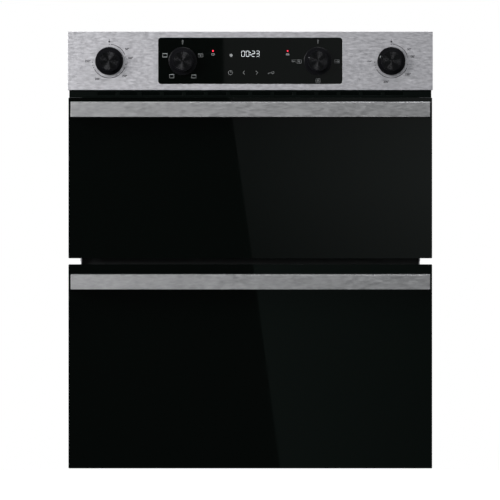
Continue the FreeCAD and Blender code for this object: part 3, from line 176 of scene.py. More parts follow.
def black_glass(name):
    """Black glass: a hard gloss, with the faintest smears in it."""
    finish = Finish(name, Base_Color=(0.0005, 0.0009, 0.0007, 1), IOR=1.5)
    smears = finish.noise((9.0, 9.0, 26.0), detail=5.0, distortion=0.6)
    return finish.rough(finish.span(smears, 0.006, 0.022, 0.35, 0.75)).material


def clear_glass(name, tint):
    finish = Finish(name, Base_Color=tint, IOR=1.5, Transmission_Weight=1.0)
    smears = finish.noise((11.0, 11.0, 30.0), detail=4.0)
    return finish.rough(finish.span(smears, 0.0, 0.04, 0.4, 0.8)).material


def plastic(name, colour, rough, grain=0.00003, **settings):
    """Moulded plastic with a fine spark-eroded texture."""
    finish = Finish(name, **settings)
    texture = finish.noise((1900.0, 1900.0, 1900.0), detail=2.0)
    patches = finish.noise((30.0, 30.0, 30.0), detail=3.0)
    darker = tuple(part * 0.8 for part in colour)
    finish.base(finish.colours(patches, [(0.3, darker), (0.7, colour)]))
    finish.rough(finish.span(texture, rough - 0.06, rough + 0.08, 0.3, 0.7))
    return finish.bump(texture, grain, 0.6).material


def galvanised(name):
    """Zinc-coated sheet: fine crystals in slightly different greys, and faint rolling marks."""
    finish = Finish(name, Metallic=0.7)
    crystals = finish.cells((210.0, 210.0, 210.0))
    grey = finish.node("ShaderNodeRGBToBW")
    finish.link(crystals, grey.inputs["Color"])
    stops = [(0.15, (0.37, 0.38, 0.39)), (0.55, (0.42, 0.43, 0.44)), (0.9, (0.48, 0.49, 0.50))]
    finish.base(finish.colours(grey.outputs["Val"], stops))
    finish.rough(finish.span(grey.outputs["Val"], 0.52, 0.66))
    return finish.bump(finish.noise((14.0, 14.0, 900.0)), 0.00005, 0.35).material


def enamel(name, colour, speck):
    """Vitreous enamel: glossy, a little wavy, with fine pale specks."""
    finish = Finish(name, Coat_Weight=0.6, Coat_Roughness=0.06)
    specks = finish.cells((420.0, 420.0, 420.0), "Distance")
    finish.base(finish.colours(specks, [(0.02, speck), (0.13, colour)]))
    ripple = finish.noise((55.0, 55.0, 55.0), detail=2.0)
    finish.rough(finish.span(ripple, 0.18, 0.30, 0.3, 0.7))
    return finish.bump(ripple, 0.0004, 0.25).material


def metal(name, colour, rough, scratch=240.0):
    """Plain bright metal with fine random scratches and slightly uneven gloss."""
    finish = Finish(name, Metallic=1.0)
    scratches = finish.noise((scratch, scratch * 6, scratch), detail=4.0, distortion=1.2)
    darker = tuple(part * 0.82 for part in colour)
    finish.base(finish.colours(scratches, [(0.3, darker), (0.65, colour)]))
    finish.rough(finish.span(scratches, max(0.02, rough - 0.07), rough + 0.1, 0.3, 0.7))
    return finish.bump(scratches, 0.00002, 0.4).material


def spun_face(name):
    """A turned dark metal face: concentric grooves, so that its highlights fan out."""
    finish = Finish(name, Metallic=1.0, Anisotropic=0.92)
    tangent = finish.node("ShaderNodeTangent", direction_type="RADIAL", axis="Y")
    finish.link(tangent.outputs["Tangent"], finish.shader.inputs["Tangent"])
    coordinates = finish.node("ShaderNodeTexCoord")
    grooves = finish.node("ShaderNodeTexWave", wave_type="RINGS", rings_direction="Y")
    grooves.inputs["Scale"].default_value = 900.0
    grooves.inputs["Distortion"].default_value = 1.5
    finish.link(coordinates.outputs["Object"], grooves.inputs["Vector"])
    stops = [(0.2, (0.022, 0.022, 0.024)), (0.8, (0.042, 0.042, 0.044))]
    finish.base(finish.colours(grooves.outputs["Color"], stops))
    return finish.rough(finish.span(grooves.outputs["Fac"], 0.20, 0.30)).material


def wool(name):
    finish = Finish(name, Roughness=0.95)
    fibres = finish.noise((300.0, 90.0, 300.0), detail=6.0, distortion=2.0)
    stops = [(0.3, (0.42, 0.36, 0.20)), (0.7, (0.78, 0.72, 0.50))]
    finish.base(finish.colours(fibres, stops))
    return finish.bump(fibres, 0.002, 0.8).material


def braid(name):
    """A woven glass-fibre seal: dark, matt, with a fine diagonal weave."""
    finish = Finish(name, Roughness=0.9)
    weave = finish.node("ShaderNodeTexWave", wave_type="BANDS", bands_direction="DIAGONAL")
    weave.inputs["Scale"].default_value = 260.0
    weave.inputs["Distortion"].default_value = 2.0
    finish.link(finish.place((1.0, 1.0, 1.0)), weave.inputs["Vector"])
    stops = [(0.2, (0.012, 0.012, 0.012)), (0.8, (0.055, 0.053, 0.05))]
    finish.base(finish.colours(weave.outputs["Fac"], stops))
    return finish.bump(weave.outputs["Fac"], 0.0004, 0.7).material


def ink(name, colour):
    """Screen-printed ink, a little uneven."""
    finish = Finish(name)
    cover = finish.noise((2200.0, 2200.0, 2200.0), detail=2.0)
    lighter = tuple(min(1.0, part * 1.25 + 0.004) for part in colour)
    finish.base(finish.colours(cover, [(0.35, colour), (0.8, lighter)]))
    return finish.rough(finish.span(cover, 0.40, 0.55)).material


def glow(name, colour, strength):
    """A lit display segment or lamp."""
    finish = Finish(name, Base_Color=(*colour, 1), Roughness=0.4)
    finish.shader.inputs["Emission Color"].default_value = (*colour, 1)
    haze = finish.noise((900.0, 900.0, 900.0))
    level = finish.span(haze, strength * 0.92, strength * 1.08, 0.3, 0.7)
    finish.link(level, finish.shader.inputs["Emission Strength"])
    return finish.material


STEEL = brushed("BrushedSteel", (0.465, 0.459, 0.482), (0.655, 0.647, 0.674), 115.0)
HANDLE = brushed("HandleMetal", (0.305, 0.305, 0.309), (0.415, 0.415, 0.419), 95.0)
BLACK_GLASS = black_glass("BlackGlass")
CLEAR_GLASS = clear_glass("ClearGlass", (0.86, 0.89, 0.88, 1))
LAMP_GLASS = clear_glass("LampGlass", (0.95, 0.96, 0.94, 1))
ZINC = galvanised("GalvanisedSheet")
BLACK_PAINT = plastic("BlackEnamelPaint", (0.010, 0.011, 0.011), 0.34)
OVEN_ENAMEL = enamel("OvenEnamel", (0.012, 0.013, 0.018), (0.16, 0.17, 0.20))
BLACK_PLASTIC = plastic("BlackPlastic", (0.012, 0.012, 0.012), 0.46)
KNOB_PLASTIC = plastic("KnobPlastic", (0.0030, 0.0030, 0.0038), 0.24, 0.000004,
                       Specular_IOR_Level=0.16)
TRIM_PLASTIC = plastic("TrimPlastic", (0.0014, 0.0024, 0.0020), 0.30, 0.00001,
                       Specular_IOR_Level=0.06)
KNOB_FACE = spun_face("KnobFace")
GREY_PLASTIC = plastic("TerminalPlastic", (0.60, 0.60, 0.57), 0.5)
CHROME = metal("ChromeWire", (0.82, 0.82, 0.84), 0.12)
ZINC_PLATE = metal("ZincPlate", (0.62, 0.62, 0.60), 0.32)
FAN_METAL = metal("FanMetal", (0.66, 0.67, 0.68), 0.35)
MOTOR_STEEL = metal("MotorSteel", (0.30, 0.30, 0.31), 0.42, 120.0)
SHEATH = metal("ElementSheath", (0.16, 0.165, 0.15), 0.45, 160.0)
WOOL = wool("MineralWool")
SEAL = braid("BraidedSeal")
DARK_INK = ink("DarkInk", (0.012, 0.012, 0.014))
PALE_INK = ink("PaleInk", (0.22, 0.23, 0.23))
DIM_INK = ink("DimInk", (0.15, 0.155, 0.155))
DIGIT_GLOW = glow("DisplayGlow", (0.92, 0.96, 1.0), 0.44)
RED_GLOW = glow("RedLamp", (0.90, 0.01, 0.045), 0.7)

SLOT_FINISH = {
    "galvanised_steel": ZINC,
    "black_enamel": BLACK_PAINT,
    "oven_enamel": OVEN_ENAMEL,
    "mineral_wool": WOOL,
    "seal": SEAL,
    "element_sheath": SHEATH,
    "motor_steel": MOTOR_STEEL,
    "lamp_glass": LAMP_GLASS,
    "chrome_wire": CHROME,
    "hinge_steel": ZINC_PLATE,
    "terminal_plastic": GREY_PLASTIC,
    "brushed_steel": STEEL,
    "black_glass": BLACK_GLASS,
    "clear_glass": CLEAR_GLASS,
    "black_plastic": BLACK_PLASTIC,
    "red_lens": RED_GLOW,
    "handle_metal": HANDLE,
    "knob_black": KNOB_PLASTIC,
    "fan_metal": FAN_METAL,
}


# The mouldings against the doors are darker than the other black plastic.
TRIM_NODES = ("vent_trim", "upper_handle_end_caps", "lower_handle_end_caps")


def finish_cad_nodes():
    for part in frame["record"]["subparts"]:
        node = part["node"]
        mesh = NODES[node].data
        mesh.materials.clear()
        mesh.materials.append(
            TRIM_PLASTIC if node in TRIM_NODES else SLOT_FINISH[part["material_slot"]])


# ---- mesh building --------------------------------------------------------------------------

def ride_on(name, mesh, slot, body, material, origin=(0, 0, 0)):
    """Makes a mesh into a piece that rides on a body, in its slot's finish or another."""
    mesh.materials.clear()
    mesh.materials.append(material or SLOT_FINISH[slot])
    piece = bpy.data.objects.new(name, mesh)
    bpy.context.scene.collection.objects.link(piece)
    piece.location = origin
    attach(piece, body)
    return piece


def add_piece(name, builder, slot, body="oven_body", material=None, sharp=35.0,
              origin=(0, 0, 0)):
    """Turns a filled bmesh into a smooth-shaded piece that rides on a body."""
    mesh = bpy.data.meshes.new(name)
    bmesh.ops.recalc_face_normals(builder, faces=builder.faces)
    builder.to_mesh(mesh)
    builder.free()
    mesh.polygons.foreach_set("use_smooth", [True] * len(mesh.polygons))
    mesh.set_sharp_from_angle(angle=math.radians(sharp))
    return ride_on(name, mesh, slot, body, material, origin)


def add_bevel(node, width, angle=40.0):
    """Rounds a node's sharp edges, after joining faces that only touch along them."""
    weld = NODES[node].modifiers.new("join", "WELD")
    weld.merge_threshold = 0.01 * MM
    bevel = NODES[node].modifiers.new("edge", "BEVEL")
    bevel.width = width
    bevel.segments = 2
    bevel.limit_method = "ANGLE"
    bevel.angle_limit = math.radians(angle)
    bevel.harden_normals = True


def join_rings(builder, rings):
    """A skin of four-sided faces from each ring of vertices to the next."""
    for first, second in zip(rings, rings[1:]):
        for index in range(len(first)):
            following = (index + 1) % len(first)
            builder.faces.new((first[index], first[following], second[following], second[index]))


def turned(builder, x, z, profile, steps, phase=0.0):
    """Turns a profile of (radius, y) round an axis along Y, open at both ends."""
    rings = []
    for radius, y in profile:
        angles = [2 * math.pi * (index + phase) / steps for index in range(steps)]
        rings.append([builder.verts.new((x + radius * math.cos(a), y, z + radius * math.sin(a)))
                      for a in angles])
    join_rings(builder, rings)
    return rings


def lathe(builder, x, z, profile, steps):
    """A turned solid, closed at both ends."""
    rings = turned(builder, x, z, profile, steps)
    builder.faces.new(rings[0])
    builder.faces.new(rings[-1])


def prism(builder, near, far):
    """A solid between two outlines with the same number of points."""
    near, far = ([builder.verts.new(point) for point in outline] for outline in (near, far))
    builder.faces.new(near)
    builder.faces.new(list(reversed(far)))
    for index in range(len(near)):
        following = (index + 1) % len(near)
        builder.faces.new((near[index], far[index], far[following], near[following]))


def block(builder, low, high):
    """A box between two corners."""
    made = bmesh.ops.create_cube(builder, size=1.0)
    middle = (Vector(low) + Vector(high)) / 2
    size = Vector(high) - Vector(low)
    for vert in made["verts"]:
        vert.co = middle + Vector(vert.co[i] * size[i] for i in range(3))


def sweep(builder, path, radius, steps=10, closed=False):
    """A round wire along a list of points."""
    count = len(path)
    rings = []
    side = None
    for index, point in enumerate(path):
        before = path[index - 1] if index or closed else point
        after = path[(index + 1) % count] if index < count - 1 or closed else point
        along = (Vector(after) - Vector(before)).normalized()
        side = along.orthogonal() if side is None else side - along * side.dot(along)
        side.normalize()
        other = along.cross(side)
        ring = []
        for step in range(steps):
            angle = 2 * math.pi * step / steps
            offset = side * math.cos(angle) * radius + other * math.sin(angle) * radius
            ring.append(builder.verts.new(Vector(point) + offset))
        rings.append(ring)
    join_rings(builder, [*rings, rings[0]] if closed else rings)
    if not closed:
        builder.faces.new(rings[0])
        builder.faces.new(rings[-1])


def rounded_loop(x_span, z_span, y, corner, steps=8):
    """Points round a rectangle with round corners, in a plane that faces the front."""
    (x0, x1), (z0, z1) = x_span, z_span
    centres = [(x1 - corner, z0 + corner), (x1 - corner, z1 - corner),
               (x0 + corner, z1 - corner), (x0 + corner, z0 + corner)]
    points = []
    for quarter, (x, z) in enumerate(centres):
        for step in range(steps + 1):
            angle = math.radians(-90 + 90 * quarter + 90 * step / steps)
            points.append((x + corner * math.cos(angle), y, z + corner * math.sin(angle)))
    return points


def band(builder, outer, inner, front, back):
    """A flat ring between two loops with the same number of points, as thick as front to back."""
    outer_front, outer_back, inner_front, inner_back = (
        [builder.verts.new((point[0], y, point[2])) for point in loop]
        for loop in (outer, inner) for y in (front, back))
    join_rings(builder, [outer_front, inner_front, inner_back, outer_back, outer_front])


# ---- printed graphics: thin raised ink on a face that looks towards -Y --------------------------

INK = 0.06 * MM


class Print:
    """Gathers strokes, arcs and dots on one plane into one piece."""

    def __init__(self, face_y, centre=(0.0, 0.0)):
        self.builder = bmesh.new()
        self.face = face_y
        self.centre = centre

    def polygon(self, points):
        cx, cz = self.centre
        near, far = ([(cx + x, y, cz + z) for x, z in points]
                     for y in (self.face - INK, self.face))
        prism(self.builder, near, far)

    def stroke(self, start, end, width):
        (x0, z0), (x1, z1) = start, end
        length = math.hypot(x1 - x0, z1 - z0)
        ux, uz = (x1 - x0) / length * width / 2, (z1 - z0) / length * width / 2
        self.polygon([(x0 - ux - uz, z0 - uz + ux), (x0 - ux + uz, z0 - uz - ux),
                      (x1 + ux + uz, z1 + uz - ux), (x1 + ux - uz, z1 + uz + ux)])

    def strokes(self, points, width, closed=False):
        pairs = list(zip(points, points[1:]))
        if closed:
            pairs.append((points[-1], points[0]))
        for start, end in pairs:
            self.stroke(start, end, width)

    def arc(self, radius, start, end, width, middle=(0.0, 0.0), steps=None):
        """Angles in degrees, clockwise from the top."""
        steps = steps or max(3, int((end - start) / 4))
        outer, inner = radius + width / 2, radius - width / 2
        for index in range(steps):
            corners = []
            for reach, share in ((outer, index), (outer, index + 1),
                                 (inner, index + 1), (inner, index)):
                angle = math.radians(start + (end - start) * share / steps)
                corners.append((middle[0] + reach * math.sin(angle),
                                middle[1] + reach * math.cos(angle)))
            self.polygon(corners)

    def dot(self, middle, radius, steps=20):
        turn = [2 * math.pi * index / steps for index in range(steps)]
        self.polygon([(middle[0] + radius * math.cos(a), middle[1] + radius * math.sin(a))
                      for a in turn])

    def finish(self, name, material, slot="black_glass", body="oven_body"):
        add_piece(name, self.builder, slot, body, material)


def knob_print(name, face_y):
    """A print whose points are measured from a knob's middle."""
    centre = KNOB_CENTRES[name]
    return Print(face_y, (centre.x, centre.z))


def around(radius, degrees):
    """A point at a clock angle from the middle."""
    angle = math.radians(degrees)
    return radius * math.sin(angle), radius * math.cos(angle)


def dial_number(name, text, x, z):
    """Numbers in the plain built-in typeface, turned into a thin mesh on the steel."""
    curve = bpy.data.curves.new(name, "FONT")
    curve.body = text
    curve.size = NUMBER_SIZE
    curve.align_x = "CENTER"
    curve.align_y = "CENTER"
    curve.extrude = INK / 2
    curve.offset = 0.15 * MM
    curve.resolution_u = 3
    holder = bpy.data.objects.new(name, curve)
    bpy.context.scene.collection.objects.link(holder)
    bpy.context.view_layer.update()
    mesh = bpy.data.meshes.new_from_object(
        holder.evaluated_get(bpy.context.evaluated_depsgraph_get()))
    bpy.data.objects.remove(holder)
    turn = Matrix.Rotation(math.radians(90), 4, "X")
    mesh.transform(Matrix.Translation((x, STEEL_FACE - INK / 2, z)) @ turn)
    mesh.name = name
    ride_on(name, mesh, "brushed_steel", "oven_body", DARK_INK)


DIAL_RADIUS = 27.4 * MM
DIAL_LINE = 0.90 * MM
DIAL_ARCS = ((5, 68), (113, 241))
DIAL_DOTS = (0, 76, 102, 248, 256, 266)
OFF_DOT_HEIGHT = 31.6 * MM
LABEL_RADIUS = 34.8 * MM
GRILL_MARK_REACH = LABEL_RADIUS + 0.8 * MM
NUMBER_SIZE = 4.9 * MM
DIAL_NUMBERS = {
    "upper_temperature": ((56, "50"), (82, "100"), (135, "150"), (213, "200"), (270, "250")),
    "lower_temperature": ((57, "50"), (78, "100"), (129, "150"), (194, "200")),
}


def wave(graphic, middle, count, step, height, line):
    """A zigzag centred on a point."""
    x, z = middle
    graphic.strokes([(x + (index - (count - 1) / 2) * step, z + (height if index % 2 else -height))
                     for index in range(count)], line)


def temperature_dial(name):
    """The printed scale round a temperature knob: two arcs, dots, and plain numbers."""
    scale = knob_print(name, STEEL_FACE)
    for start, end in DIAL_ARCS:
        scale.arc(DIAL_RADIUS, start, end, DIAL_LINE)
    for angle in DIAL_DOTS:
        scale.dot(around(DIAL_RADIUS, angle), 0.75 * MM)
    scale.dot((0.0, OFF_DOT_HEIGHT), 1.5 * MM)
    scale.stroke((0.0, OFF_DOT_HEIGHT + 1.0 * MM), (0.0, OFF_DOT_HEIGHT + 4.0 * MM), 0.6 * MM)
    if name == "lower_temperature":
        wave(scale, (-GRILL_MARK_REACH, 0.0), 6, 1.3 * MM, 0.9 * MM, 0.55 * MM)
    scale.finish(f"{name}_scale", DARK_INK, "brushed_steel")
    for angle, number in DIAL_NUMBERS[name]:
        x, z = around(LABEL_RADIUS, angle)
        dial_number(f"{name}_{number}", number + "°", scale.centre[0] + x, scale.centre[1] + z)


ICON = 3.5 * MM
ICON_LINE = 0.55 * MM
THIN_LINE = 0.4 * MM
BASE_LINE = 0.5 * MM
HEATED_LINE = 0.8 * MM


def icon_frame(graphic, middle, half_width=ICON, top=THIN_LINE, bottom=THIN_LINE):
    """A small outlined oven, with a heavier line where the heat comes from."""
    x, z = middle
    left, right, low, high = x - half_width, x + half_width, z - ICON * 0.78, z + ICON * 0.78
    graphic.stroke((left, high), (right, high), top)
    graphic.stroke((left, low), (right, low), bottom)
    for side in (left, right):
        graphic.stroke((side, low), (side, high), THIN_LINE)


def icon_wave(graphic, middle, level=0.0):
    wave(graphic, (middle[0], middle[1] + level), 5, 1.45 * MM, 0.6 * MM, ICON_LINE * 0.8)


def icon_fan(graphic, middle, radius=1.3 * MM):
    graphic.arc(radius, 0, 360, ICON_LINE * 0.7, middle, 16)
    x, z = middle
    graphic.stroke((x - radius, z), (x + radius, z), ICON_LINE * 0.6)
    graphic.stroke((x, z - radius), (x, z + radius), ICON_LINE * 0.6)


def icon_lamp(graphic, middle):
    """A bulb over two lines of its screw cap, and a dot."""
    x, z = middle
    line = 0.42 * MM
    graphic.arc(1.1 * MM, -140, 140, line, (x, z + 0.9 * MM), 16)
    for drop, half_width in ((0.9 * MM, 0.6 * MM), (1.8 * MM, 0.45 * MM)):
        graphic.stroke((x - half_width, z - drop), (x + half_width, z - drop), line)
    graphic.dot((x, z - 3.5 * MM), 0.5 * MM)


def upper_function_icons():
    """Oven light, and four ways of heating, round the upper oven's function knob."""
    graphic = knob_print("upper_function", GLASS_FACE)
    icon_lamp(graphic, (0.0, 31.5 * MM))
    left, low_left, low_right, right = (around(30.5 * MM, angle) for angle in (288, 216, 144, 72))
    icon_frame(graphic, left, top=HEATED_LINE, bottom=HEATED_LINE)
    icon_frame(graphic, low_left, top=HEATED_LINE, bottom=BASE_LINE)
    icon_frame(graphic, low_right, bottom=BASE_LINE)
    icon_wave(graphic, low_right, 1.6 * MM)
    graphic.finish("upper_function_icons", PALE_INK)
    grilling = knob_print("upper_function", GLASS_FACE)
    icon_frame(grilling, right, ICON * 1.1)
    icon_wave(grilling, right, 1.4 * MM)
    icon_fan(grilling, (right[0], right[1] - 0.9 * MM), 1.2 * MM)
    grilling.finish("upper_grill_icon", DIM_INK)


def lower_function_icons():
    """Oven light, and three ways of heating, round the lower oven's function knob."""
    graphic = knob_print("lower_function", GLASS_FACE)
    icon_lamp(graphic, (0.0, 32.5 * MM))
    right = around(31.0 * MM, 91)
    below = around(31.5 * MM, 180)
    left = around(34.0 * MM, 269)
    oven = (left[0] + 3.6 * MM, left[1])
    icon_frame(graphic, right, ICON * 1.15)
    icon_fan(graphic, (right[0] + 1.6 * MM, right[1]))
    graphic.stroke((right[0] - 2.8 * MM, right[1]), (right[0] - 0.6 * MM, right[1]), ICON_LINE)
    icon_frame(graphic, below, bottom=BASE_LINE)
    icon_fan(graphic, below)
    icon_frame(graphic, oven)
    icon_fan(graphic, oven)
    icon_wave(graphic, (left[0] - 5.4 * MM, left[1]))
    graphic.stroke((left[0] - 8.6 * MM, left[1] + 2.1 * MM),
                   (left[0] - 2.6 * MM, left[1] + 2.7 * MM), ICON_LINE * 0.8)
    graphic.finish("lower_function_icons", DIM_INK)


SEGMENTS = {"0": "abcdef", "2": "abged", "3": "abgcd"}
DIGIT_WIDTH = 4.8 * MM
DIGIT_HEIGHT = 9.0 * MM
DIGIT_LINE = 0.40 * MM
DIGIT_PITCH = 7.4 * MM
SEGMENT_GAP = 0.28 * MM
COLON_ROOM = 0.9 * MM
CLOCK_MIDDLE = (0.2 * MM, 675.0 * MM)
SYMBOLS_MIDDLE = (0.0, 675.3 * MM)
SYMBOL_LINE = 0.7 * MM
KEYS_MIDDLE = (0.0, 644.2 * MM)
KEY_LINE = 0.52 * MM


def digit(graphic, number, x, z):
    """One seven-segment digit, each segment a bar with pointed ends."""
    right, middle, top = x + DIGIT_WIDTH, z + DIGIT_HEIGHT / 2, z + DIGIT_HEIGHT
    flat_bars = {"a": top, "g": middle, "d": z}
    upright_bars = {"f": (x, middle), "b": (right, middle), "e": (x, z), "c": (right, z)}
    line = DIGIT_LINE / 2
    for segment in SEGMENTS[number]:
        if segment in flat_bars:
            z0 = flat_bars[segment]
            x0, x1 = x + SEGMENT_GAP, right - SEGMENT_GAP
            graphic.polygon([(x0, z0), (x0 + line, z0 + line), (x1 - line, z0 + line), (x1, z0),
                             (x1 - line, z0 - line), (x0 + line, z0 - line)])
        else:
            x0, bottom = upright_bars[segment]
            z0, z1 = bottom + SEGMENT_GAP, bottom + DIGIT_HEIGHT / 2 - SEGMENT_GAP
            graphic.polygon([(x0, z0), (x0 + line, z0 + line), (x0 + line, z1 - line), (x0, z1),
                             (x0 - line, z1 - line), (x0 - line, z0 + line)])


def display():
    """The clock, the small mark beside it, and a symbol under each indicator lamp."""
    clock = Print(GLASS_FACE, CLOCK_MIDDLE)
    for index, number in enumerate("0023"):
        place = index - 1.5
        middle = place * DIGIT_PITCH + math.copysign(COLON_ROOM, place)
        digit(clock, number, middle - DIGIT_WIDTH / 2, -DIGIT_HEIGHT / 2)
    for z in (-1.9 * MM, 1.9 * MM):
        clock.dot((-0.2 * MM, z), 0.6 * MM, 12)
    clock.finish("clock_digits", DIGIT_GLOW)

    symbols = Print(GLASS_FACE, SYMBOLS_MIDDLE)
    symbols.dot((-31.2 * MM, -2.8 * MM), 2.5 * MM)
    for x in (LAMP_LEFT, LAMP_RIGHT):
        left, right, bottom = x - 2.4 * MM, x + 2.4 * MM, -2.6 * MM
        symbols.strokes([(left, 0.0), (left, bottom), (right, bottom), (right, 0.0)],
                        SYMBOL_LINE, closed=True)
    shelf = -1.3 * MM
    symbols.stroke((LAMP_RIGHT - 1.6 * MM, shelf), (LAMP_RIGHT + 1.6 * MM, shelf), SYMBOL_LINE)
    symbols.finish("display_symbols", DIM_INK)


def touch_marks():
    """Printed touch keys: a clock face, an arrow each way, and a key."""
    keys = Print(GLASS_FACE, KEYS_MIDDLE)
    clock_x = -32.4 * MM
    keys.arc(3.4 * MM, 0, 360, KEY_LINE, (clock_x, 0.0), 24)
    keys.strokes([(clock_x, 2.1 * MM), (clock_x, 0.0), (clock_x + 1.5 * MM, 1.0 * MM)], 0.5 * MM)
    for x, reach in ((-10.7 * MM, -1.5 * MM), (10.9 * MM, 1.5 * MM)):
        keys.strokes([(x - reach, 2.7 * MM), (x + reach, 0.0), (x - reach, -2.7 * MM)], KEY_LINE)
    bow_x, tip_x, bit_x = 36.6 * MM, 29.0 * MM, 29.7 * MM
    keys.arc(1.9 * MM, 0, 360, KEY_LINE, (bow_x, 0.0), 18)
    keys.stroke((tip_x, -0.6 * MM), (bow_x - 1.9 * MM, 0.0), KEY_LINE)
    keys.stroke((bit_x, -0.6 * MM), (bit_x, -2.2 * MM), KEY_LINE)
    keys.finish("touch_marks", DIM_INK)


LENS_LOW, LENS_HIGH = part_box("indicator_lenses")
LENS_RADIUS = (LENS_HIGH.z - LENS_LOW.z) / 2
LAMP_LEFT = LENS_LOW.x + LENS_RADIUS
LAMP_RIGHT = LENS_HIGH.x - LENS_RADIUS


def indicator_lenses():
    """Two small domed lenses in place of the plain rods."""
    builder = bmesh.new()
    z = (LENS_LOW.z + LENS_HIGH.z) / 2
    for x in (LAMP_LEFT, LAMP_RIGHT):
        dome = [(LENS_RADIUS * math.sin(step * math.pi / 12),
                 LENS_LOW.y + 0.6 * MM * (1 - math.cos(step * math.pi / 12)))
                for step in range(1, 7)]
        lathe(builder, x, z, [*dome, (LENS_RADIUS, LENS_HIGH.y)], 28)
    lens = add_piece("indicator_domes", builder, "red_lens")
    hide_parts("indicator_lenses")


# ---- knobs --------------------------------------------------------------------------------------

SKIRT_RADIUS = 22.9 * MM
SKIRT_DEPTH = 5.2 * MM
SKIRT_ROUND = 0.9 * MM
BARREL_RADIUS = 16.6 * MM
GRIP_RADIUS = BARREL_RADIUS + 0.15 * MM
KNOB_FACE_RADIUS = 14.8 * MM
KNOB_STEPS = 128
FACE_SINK = 0.12 * MM
GRIP_RIDGES = 36


def knob_profile(front, skirt_front, back):
    """(radius, y) from the sunk middle of the grip, over its rim, to the back of the skirt."""
    profile = [(2.0 * MM, front + 0.7 * MM), (KNOB_FACE_RADIUS, front + 0.7 * MM),
               (KNOB_FACE_RADIUS + 0.05 * MM, front), (BARREL_RADIUS - 0.15 * MM, front),
               (GRIP_RADIUS, front + 0.3 * MM), (GRIP_RADIUS, skirt_front - 0.3 * MM),
               (GRIP_RADIUS + 0.3 * MM, skirt_front), (SKIRT_RADIUS - SKIRT_ROUND, skirt_front)]
    for step in range(1, 6):
        turn = math.pi / 2 * step / 5
        profile.append((SKIRT_RADIUS - SKIRT_ROUND * (1 - math.sin(turn)),
                        skirt_front + SKIRT_ROUND * (1 - math.cos(turn))))
    return [*profile, (SKIRT_RADIUS, back - 0.6 * MM), (SKIRT_RADIUS - 0.5 * MM, back),
            (4.0 * MM, back)]


def grip_ridges(builder, centre, front, back):
    """Fine ridges along the grip, all the way round."""
    for index in range(GRIP_RIDGES):
        angle = 2 * math.pi * index / GRIP_RIDGES
        outward = Vector((math.cos(angle), 0, math.sin(angle)))
        across = Vector((-math.sin(angle), 0, math.cos(angle))) * 0.30 * MM
        middle = Vector((centre.x, 0, centre.z)) + outward * (BARREL_RADIUS + 0.02 * MM)
        spoke = outward * 0.16 * MM
        near, far = ([middle + Vector((0, y, 0)) + side
                      for side in (-across, spoke, across, -spoke * 2)] for y in (front, back))
        prism(builder, near, far)


def knob(name):
    """A turned knob: a thin rounded skirt, a taller grip, and a sunk spun-metal face."""
    low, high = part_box(f"{name}_knob")
    centre = KNOB_CENTRES[name]
    front, back = low.y, high.y
    skirt_front = back - SKIRT_DEPTH
    body = f"{name}_control"
    builder = bmesh.new()
    lathe(builder, centre.x, centre.z, knob_profile(front, skirt_front, back), KNOB_STEPS)
    grip_ridges(builder, centre, front + 1.1 * MM, skirt_front - 2.2 * MM)
    grip = add_piece(f"{name}_grip", builder, "knob_black", body)
    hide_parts(f"{name}_knob")

    # The face is turned about its own origin, because its grooves follow object coordinates.
    face = bmesh.new()
    rim, depth = KNOB_FACE_RADIUS - 0.1 * MM, 0.6 * MM
    lathe(face, 0, 0, [(0.35 * MM, 0), (4.0 * MM, -0.04 * MM), (rim, 0), (rim, depth),
                       (0.5 * MM, depth)], KNOB_STEPS)
    add_piece(f"{name}_face", face, "knob_black", body, KNOB_FACE,
              origin=(centre.x, front + FACE_SINK, centre.z))

    # The pointer line: a thin flat stroke in the knob's dark plastic, painted shade standing in
    # for an engraved groove at twelve o'clock.
    marks = knob_print(name, front + FACE_SINK - 0.01 * MM)
    marks.stroke(around(9.2 * MM, 0), around(KNOB_FACE_RADIUS - 0.4 * MM, 0), 1.0 * MM)
    marks.finish(f"{name}_groove", KNOB_PLASTIC, "knob_black", body)
    # Painted highlight: a small pale arc on the lower temperature knob and a pale dot on the lower
    # function knob stand in for the lamps' glint on their rims.
    if name.startswith("lower"):
        on_skirt = name == "lower_temperature"
        painted_glint = knob_print(name, skirt_front if on_skirt else front)
        if on_skirt:
            painted_glint.arc(19.4 * MM, 286, 296, 0.9 * MM)
        else:
            painted_glint.dot(around(15.7 * MM, 289), 0.55 * MM)
        painted_glint.finish(f"{name}_pip", PALE_INK, "knob_black", body)


# ---- doors --------------------------------------------------------------------------------------

SEAL_CORNER = 9.0 * MM
SEAL_INSET = 4.5 * MM
SEAL_FLANGE_HALF_WIDTH = 2.9 * MM
SEAL_FLANGE = 0.9 * MM


def inset_loop(low, high, inset, corner, y=0.0):
    """A loop with round corners, set in from a box's front outline."""
    return rounded_loop((low.x + inset, high.x - inset), (low.z + inset, high.z - inset),
                        y, corner)


def seals():
    """A round woven tube on a flat flange round each oven's mouth, for the plain gasket."""
    for level in LEVELS:
        low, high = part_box(f"{level}_gasket")
        builder = bmesh.new()
        tube = inset_loop(low, high, SEAL_INSET, SEAL_CORNER, (low.y + high.y) / 2)
        sweep(builder, tube, (high.y - low.y) / 2, steps=12, closed=True)
        outer = inset_loop(low, high, SEAL_INSET - SEAL_FLANGE_HALF_WIDTH, 11.5 * MM)
        inner = inset_loop(low, high, SEAL_INSET + SEAL_FLANGE_HALF_WIDTH, 6.5 * MM)
        band(builder, outer, inner, high.y - SEAL_FLANGE, high.y)
        seal = add_piece(f"{level}_seal", builder, "seal", sharp=60)
        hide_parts(f"{level}_gasket")


def pane_border(level, pane, width):
    """The black printed border on the back of a pane, with a clear window inside it."""
    low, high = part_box(f"{level}_{pane}_glass")
    outer = inset_loop(low, high, 0.6 * MM, 2.5 * MM)
    inner = inset_loop(low, high, width, 9.0 * MM)
    builder = bmesh.new()
    band(builder, outer, inner, high.y, high.y + 0.08 * MM)
    add_piece(f"{level}_{pane}_border", builder, "black_glass", f"{level}_door", BLACK_PAINT)


SCREW_HEIGHT = 1.9 * MM
SCREW_STEPS = 24
